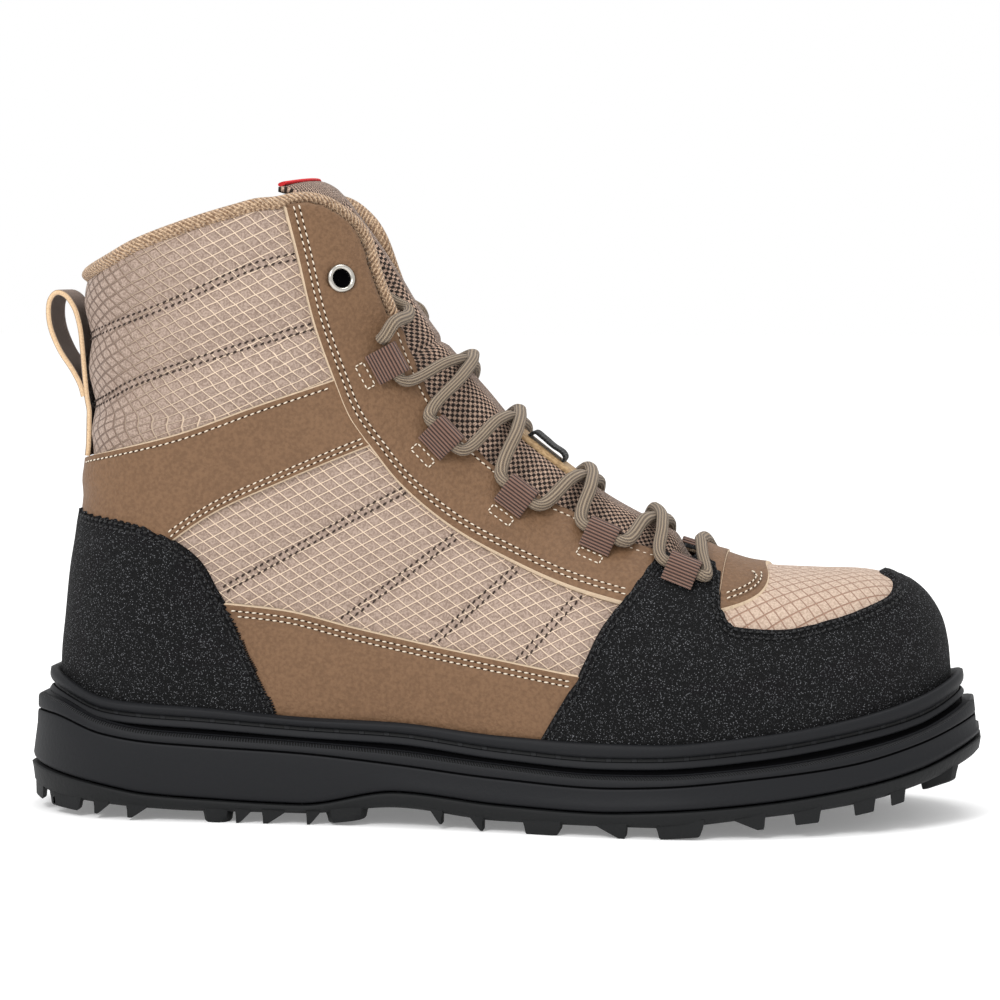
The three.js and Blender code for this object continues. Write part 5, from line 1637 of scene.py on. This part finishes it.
def build_pull_loop():
    foot = STACK + 0.475 * HEIGHT
    z = np.linspace(foot, 134, 6)
    lower = np.stack([back_at(z) - 1.6, z], 1)
    flat = resample(curve_through(np.vstack([lower, PULL_PATH]), 8), 120)
    along = np.arange(len(flat)) / (len(flat) - 1)
    pile = Pile()
    path = np.stack([flat[:, 0], np.zeros(len(flat)), flat[:, 1]], 1)
    strap(pile, path, np.tile([0.0, 1.0, 0.0], (len(path), 1)), PULL_WIDE, WEBBING)
    points = pile.points[0]
    hug = 1.7 * (1 - 0.5 * ease(along, 0.35, 0.6) + 0.3 * ease(along, 0.8, 1))
    points[:, 0] += np.repeat(hug, len(points) // len(flat)) * (points[:, 1] / (PULL_WIDE / 2)) ** 2
    pile.piece("pull_loop_dressed", [LOOKS["pull"]], nodes=["pull_loop"], slot="webbing")


# Lace

LACE_LIFT = LACE_THICK / 2 + 0.4


def lace_point(share, y, extra=0.0):
    """Over the tongue in the middle, over the eyestay at the sides."""
    p, _, n = ridge_frame(share)
    over = float(depth_at(p, n, np.array(max(abs(y), 1.0)), 1.9))
    middle = mix(-1.5, 0.6, float(ease(p[0], -8, 8)))
    depth = mix(middle, over, float(ease(abs(y), 10, 22))) - LACE_LIFT - extra
    return np.array([p[0] - n[0] * depth, y, p[1] - n[1] * depth])


def mouth(index, side, end):
    """Where the lace leaves a loop: end is 1 for its upper mouth and -1 for its lower one."""
    p, _, up, away = loop_frame(LOOP_SPOTS[index], side, LOOP_BASE + 2.4)
    return p + up * end * (LOOP_LONG / 2 + 2.4) - away * 1.5


def lace_run(index, side, over):
    """From one loop's upper mouth across the tongue to the next loop's lower mouth."""
    start, end = mouth(index, side, 1), mouth(index + 1, -side, -1)
    a, b = ridge_share(start[0], start[2]), ridge_share(end[0], end[2])
    points = [start]
    for t in (0.2, 0.35, 0.5, 0.65, 0.8):
        lift = over * math.sin(math.pi * t) ** 2
        points.append(lace_point(mix(a, b, t**0.7), mix(start[1], end[1], t), lift))
    return points + [end]


def through(index, side):
    """The middle of the lace's way through a loop."""
    p, _, _, away = loop_frame(LOOP_SPOTS[index], side, LOOP_BASE + 2.2)
    return p - away * 1.5


def build_laces():
    """Two strands from the bar at the foot of the throat, crossing to the top loops."""
    pile = Pile()
    a, b = mouth(0, OUTER, -1), mouth(0, INNER, -1)
    share = ridge_share(a[0], a[2])
    bar = [through(0, OUTER), a]
    for t in (0.15, 0.3, 0.5, 0.7, 0.85):
        bar.append(lace_point(share + 0.015 * math.sin(math.pi * t), mix(a[1], b[1], t)))
    bar += [b, through(0, INNER)]
    lines = [bar]
    for first in SIDES:
        side = first
        line = [through(0, side)]
        for index in range(len(LOOP_SPOTS) - 1):
            over = 2.4 if (index % 2 == 0) == (first == OUTER) else 0.0
            line += lace_run(index, side, over)
            side = -side
            line.append(through(index + 1, side))
        lines.append(line)
    for points in lines:
        line = curve_through(points, 12)
        line = resample(line, int(lengths(line)[-1] / 0.9))
        up = unit(line - np.array([-10.0, 0, 40]))
        tube(pile, line, up, LACE_WIDTH, LACE_THICK)
    pile.piece("laces_dressed", [LOOKS["lace"]], slot="lace",
               nodes=["lace_bar"] + ["lace_crossing_%d" % (i + 1) for i in range(4)])


# Ends of the lace, over the flap's edge and back behind it, as in the solids
LACE_END = [(-34.4, 159.6, 5.4, None), (-31.8, 163.9, 6.6, None), (-29, 166.4, None, 17),
            (-29.8, 168.6, None, 12.4), (-34.4, 171, None, 11.8), (-41.2, 175.6, None, 15.3),
            (-47, 178.8, None, 19.3)]


def build_lace_ends():
    for side, word in SIDES.items():
        points = [mouth(len(LOOP_SPOTS) - 1, side, 1)]
        for x, z, lift, across in LACE_END:
            y = side * across if across else float(centre(x, z) + side * half(x, z, lift))
            points.append(np.array([x, y, z]))
        line = curve_through(points, 12)
        line = resample(line, 70)
        pile = Pile()
        tube(pile, line, unit(line - np.array([-60.0, 0, 150])), LACE_WIDTH, LACE_THICK)
        piece = pile.piece("lace_end_%s_dressed" % word, [LOOKS["lace"]],
                           nodes=["lace_end_" + word], slot="lace")


# Floor, light and camera

def build_stage():
    size = 8.0
    mesh = bpy.data.meshes.new("floor")
    corners = [(-size, -size, 0), (size, -size, 0), (size, size, 0), (-size, size, 0)]
    mesh.from_pydata(corners, [], [(0, 1, 2, 3)])
    look = Look("floor", 0.95, specular=0.0)
    look.colour((0.86, 0.86, 0.86, 1))
    look.set("Emission Color", (1, 1, 1, 1))
    look.set("Emission Strength", 0.2)
    mesh.materials.append(look.material)
    floor = add_object("floor", mesh)


LIGHT_TARGET = Vector((0, 0, 0.08))


def area_light(name, place, size, power):
    data = bpy.data.lights.new(name, "AREA")
    data.shape = "DISK"
    data.size = size
    data.energy = power
    lamp = add_object(name, data)
    lamp.location = place
    lamp.rotation_euler = (LIGHT_TARGET - Vector(place)).to_track_quat("-Z", "Y").to_euler()


def build_light():
    world = bpy.data.worlds.new("studio")
    bpy.context.scene.world = world
    world.use_nodes = True
    background = world.node_tree.nodes["Background"]
    background.inputs["Color"].default_value = (1, 1, 1, 1)
    background.inputs["Strength"].default_value = 1.0
    area_light("key", (-0.7, -1.5, 1.5), 0.8, 22)
    area_light("top", (0.3, 0.2, 1.8), 1.0, 10)
    bpy.context.scene.view_settings.view_transform = "Standard"


# The photo's viewing angle, distance and framing
CAMERA = {"azimuth": 7.0, "elevation": 3.6, "distance": 1150, "target": (0, 0, 110)}
PIXELS_PER_MM = 2.9769
FRAME_PIXELS = 1000
TARGET_PIXEL = (501.3, 482.9)
SENSOR = 36


def build_camera():
    data = bpy.data.cameras.new("camera")
    data.sensor_width = SENSOR
    data.lens = SENSOR * PIXELS_PER_MM * CAMERA["distance"] / FRAME_PIXELS
    data.shift_x = 0.5 - TARGET_PIXEL[0] / FRAME_PIXELS
    data.shift_y = TARGET_PIXEL[1] / FRAME_PIXELS - 0.5
    data.clip_start, data.clip_end = 0.05, 40
    camera = add_object("camera", data)
    a, e = math.radians(CAMERA["azimuth"]), math.radians(CAMERA["elevation"])
    back = Vector((math.sin(a) * math.cos(e), -math.cos(a) * math.cos(e), math.sin(e)))
    camera.location = (Vector(CAMERA["target"]) + back * CAMERA["distance"]) * METRES
    camera.rotation_euler = (-back).to_track_quat("-Z", "Y").to_euler()
    bpy.context.scene.camera = camera


build_camera()
build_light()
build_stage()
build_lace_ends()
build_laces()
build_outsole()
build_midsole()
build_welt()
build_insole()
build_upper()
build_overlays()
build_stitches()
build_tongue()
build_tongue_trim()
build_loops()
build_eyelets()
build_binding()
build_pull_loop()
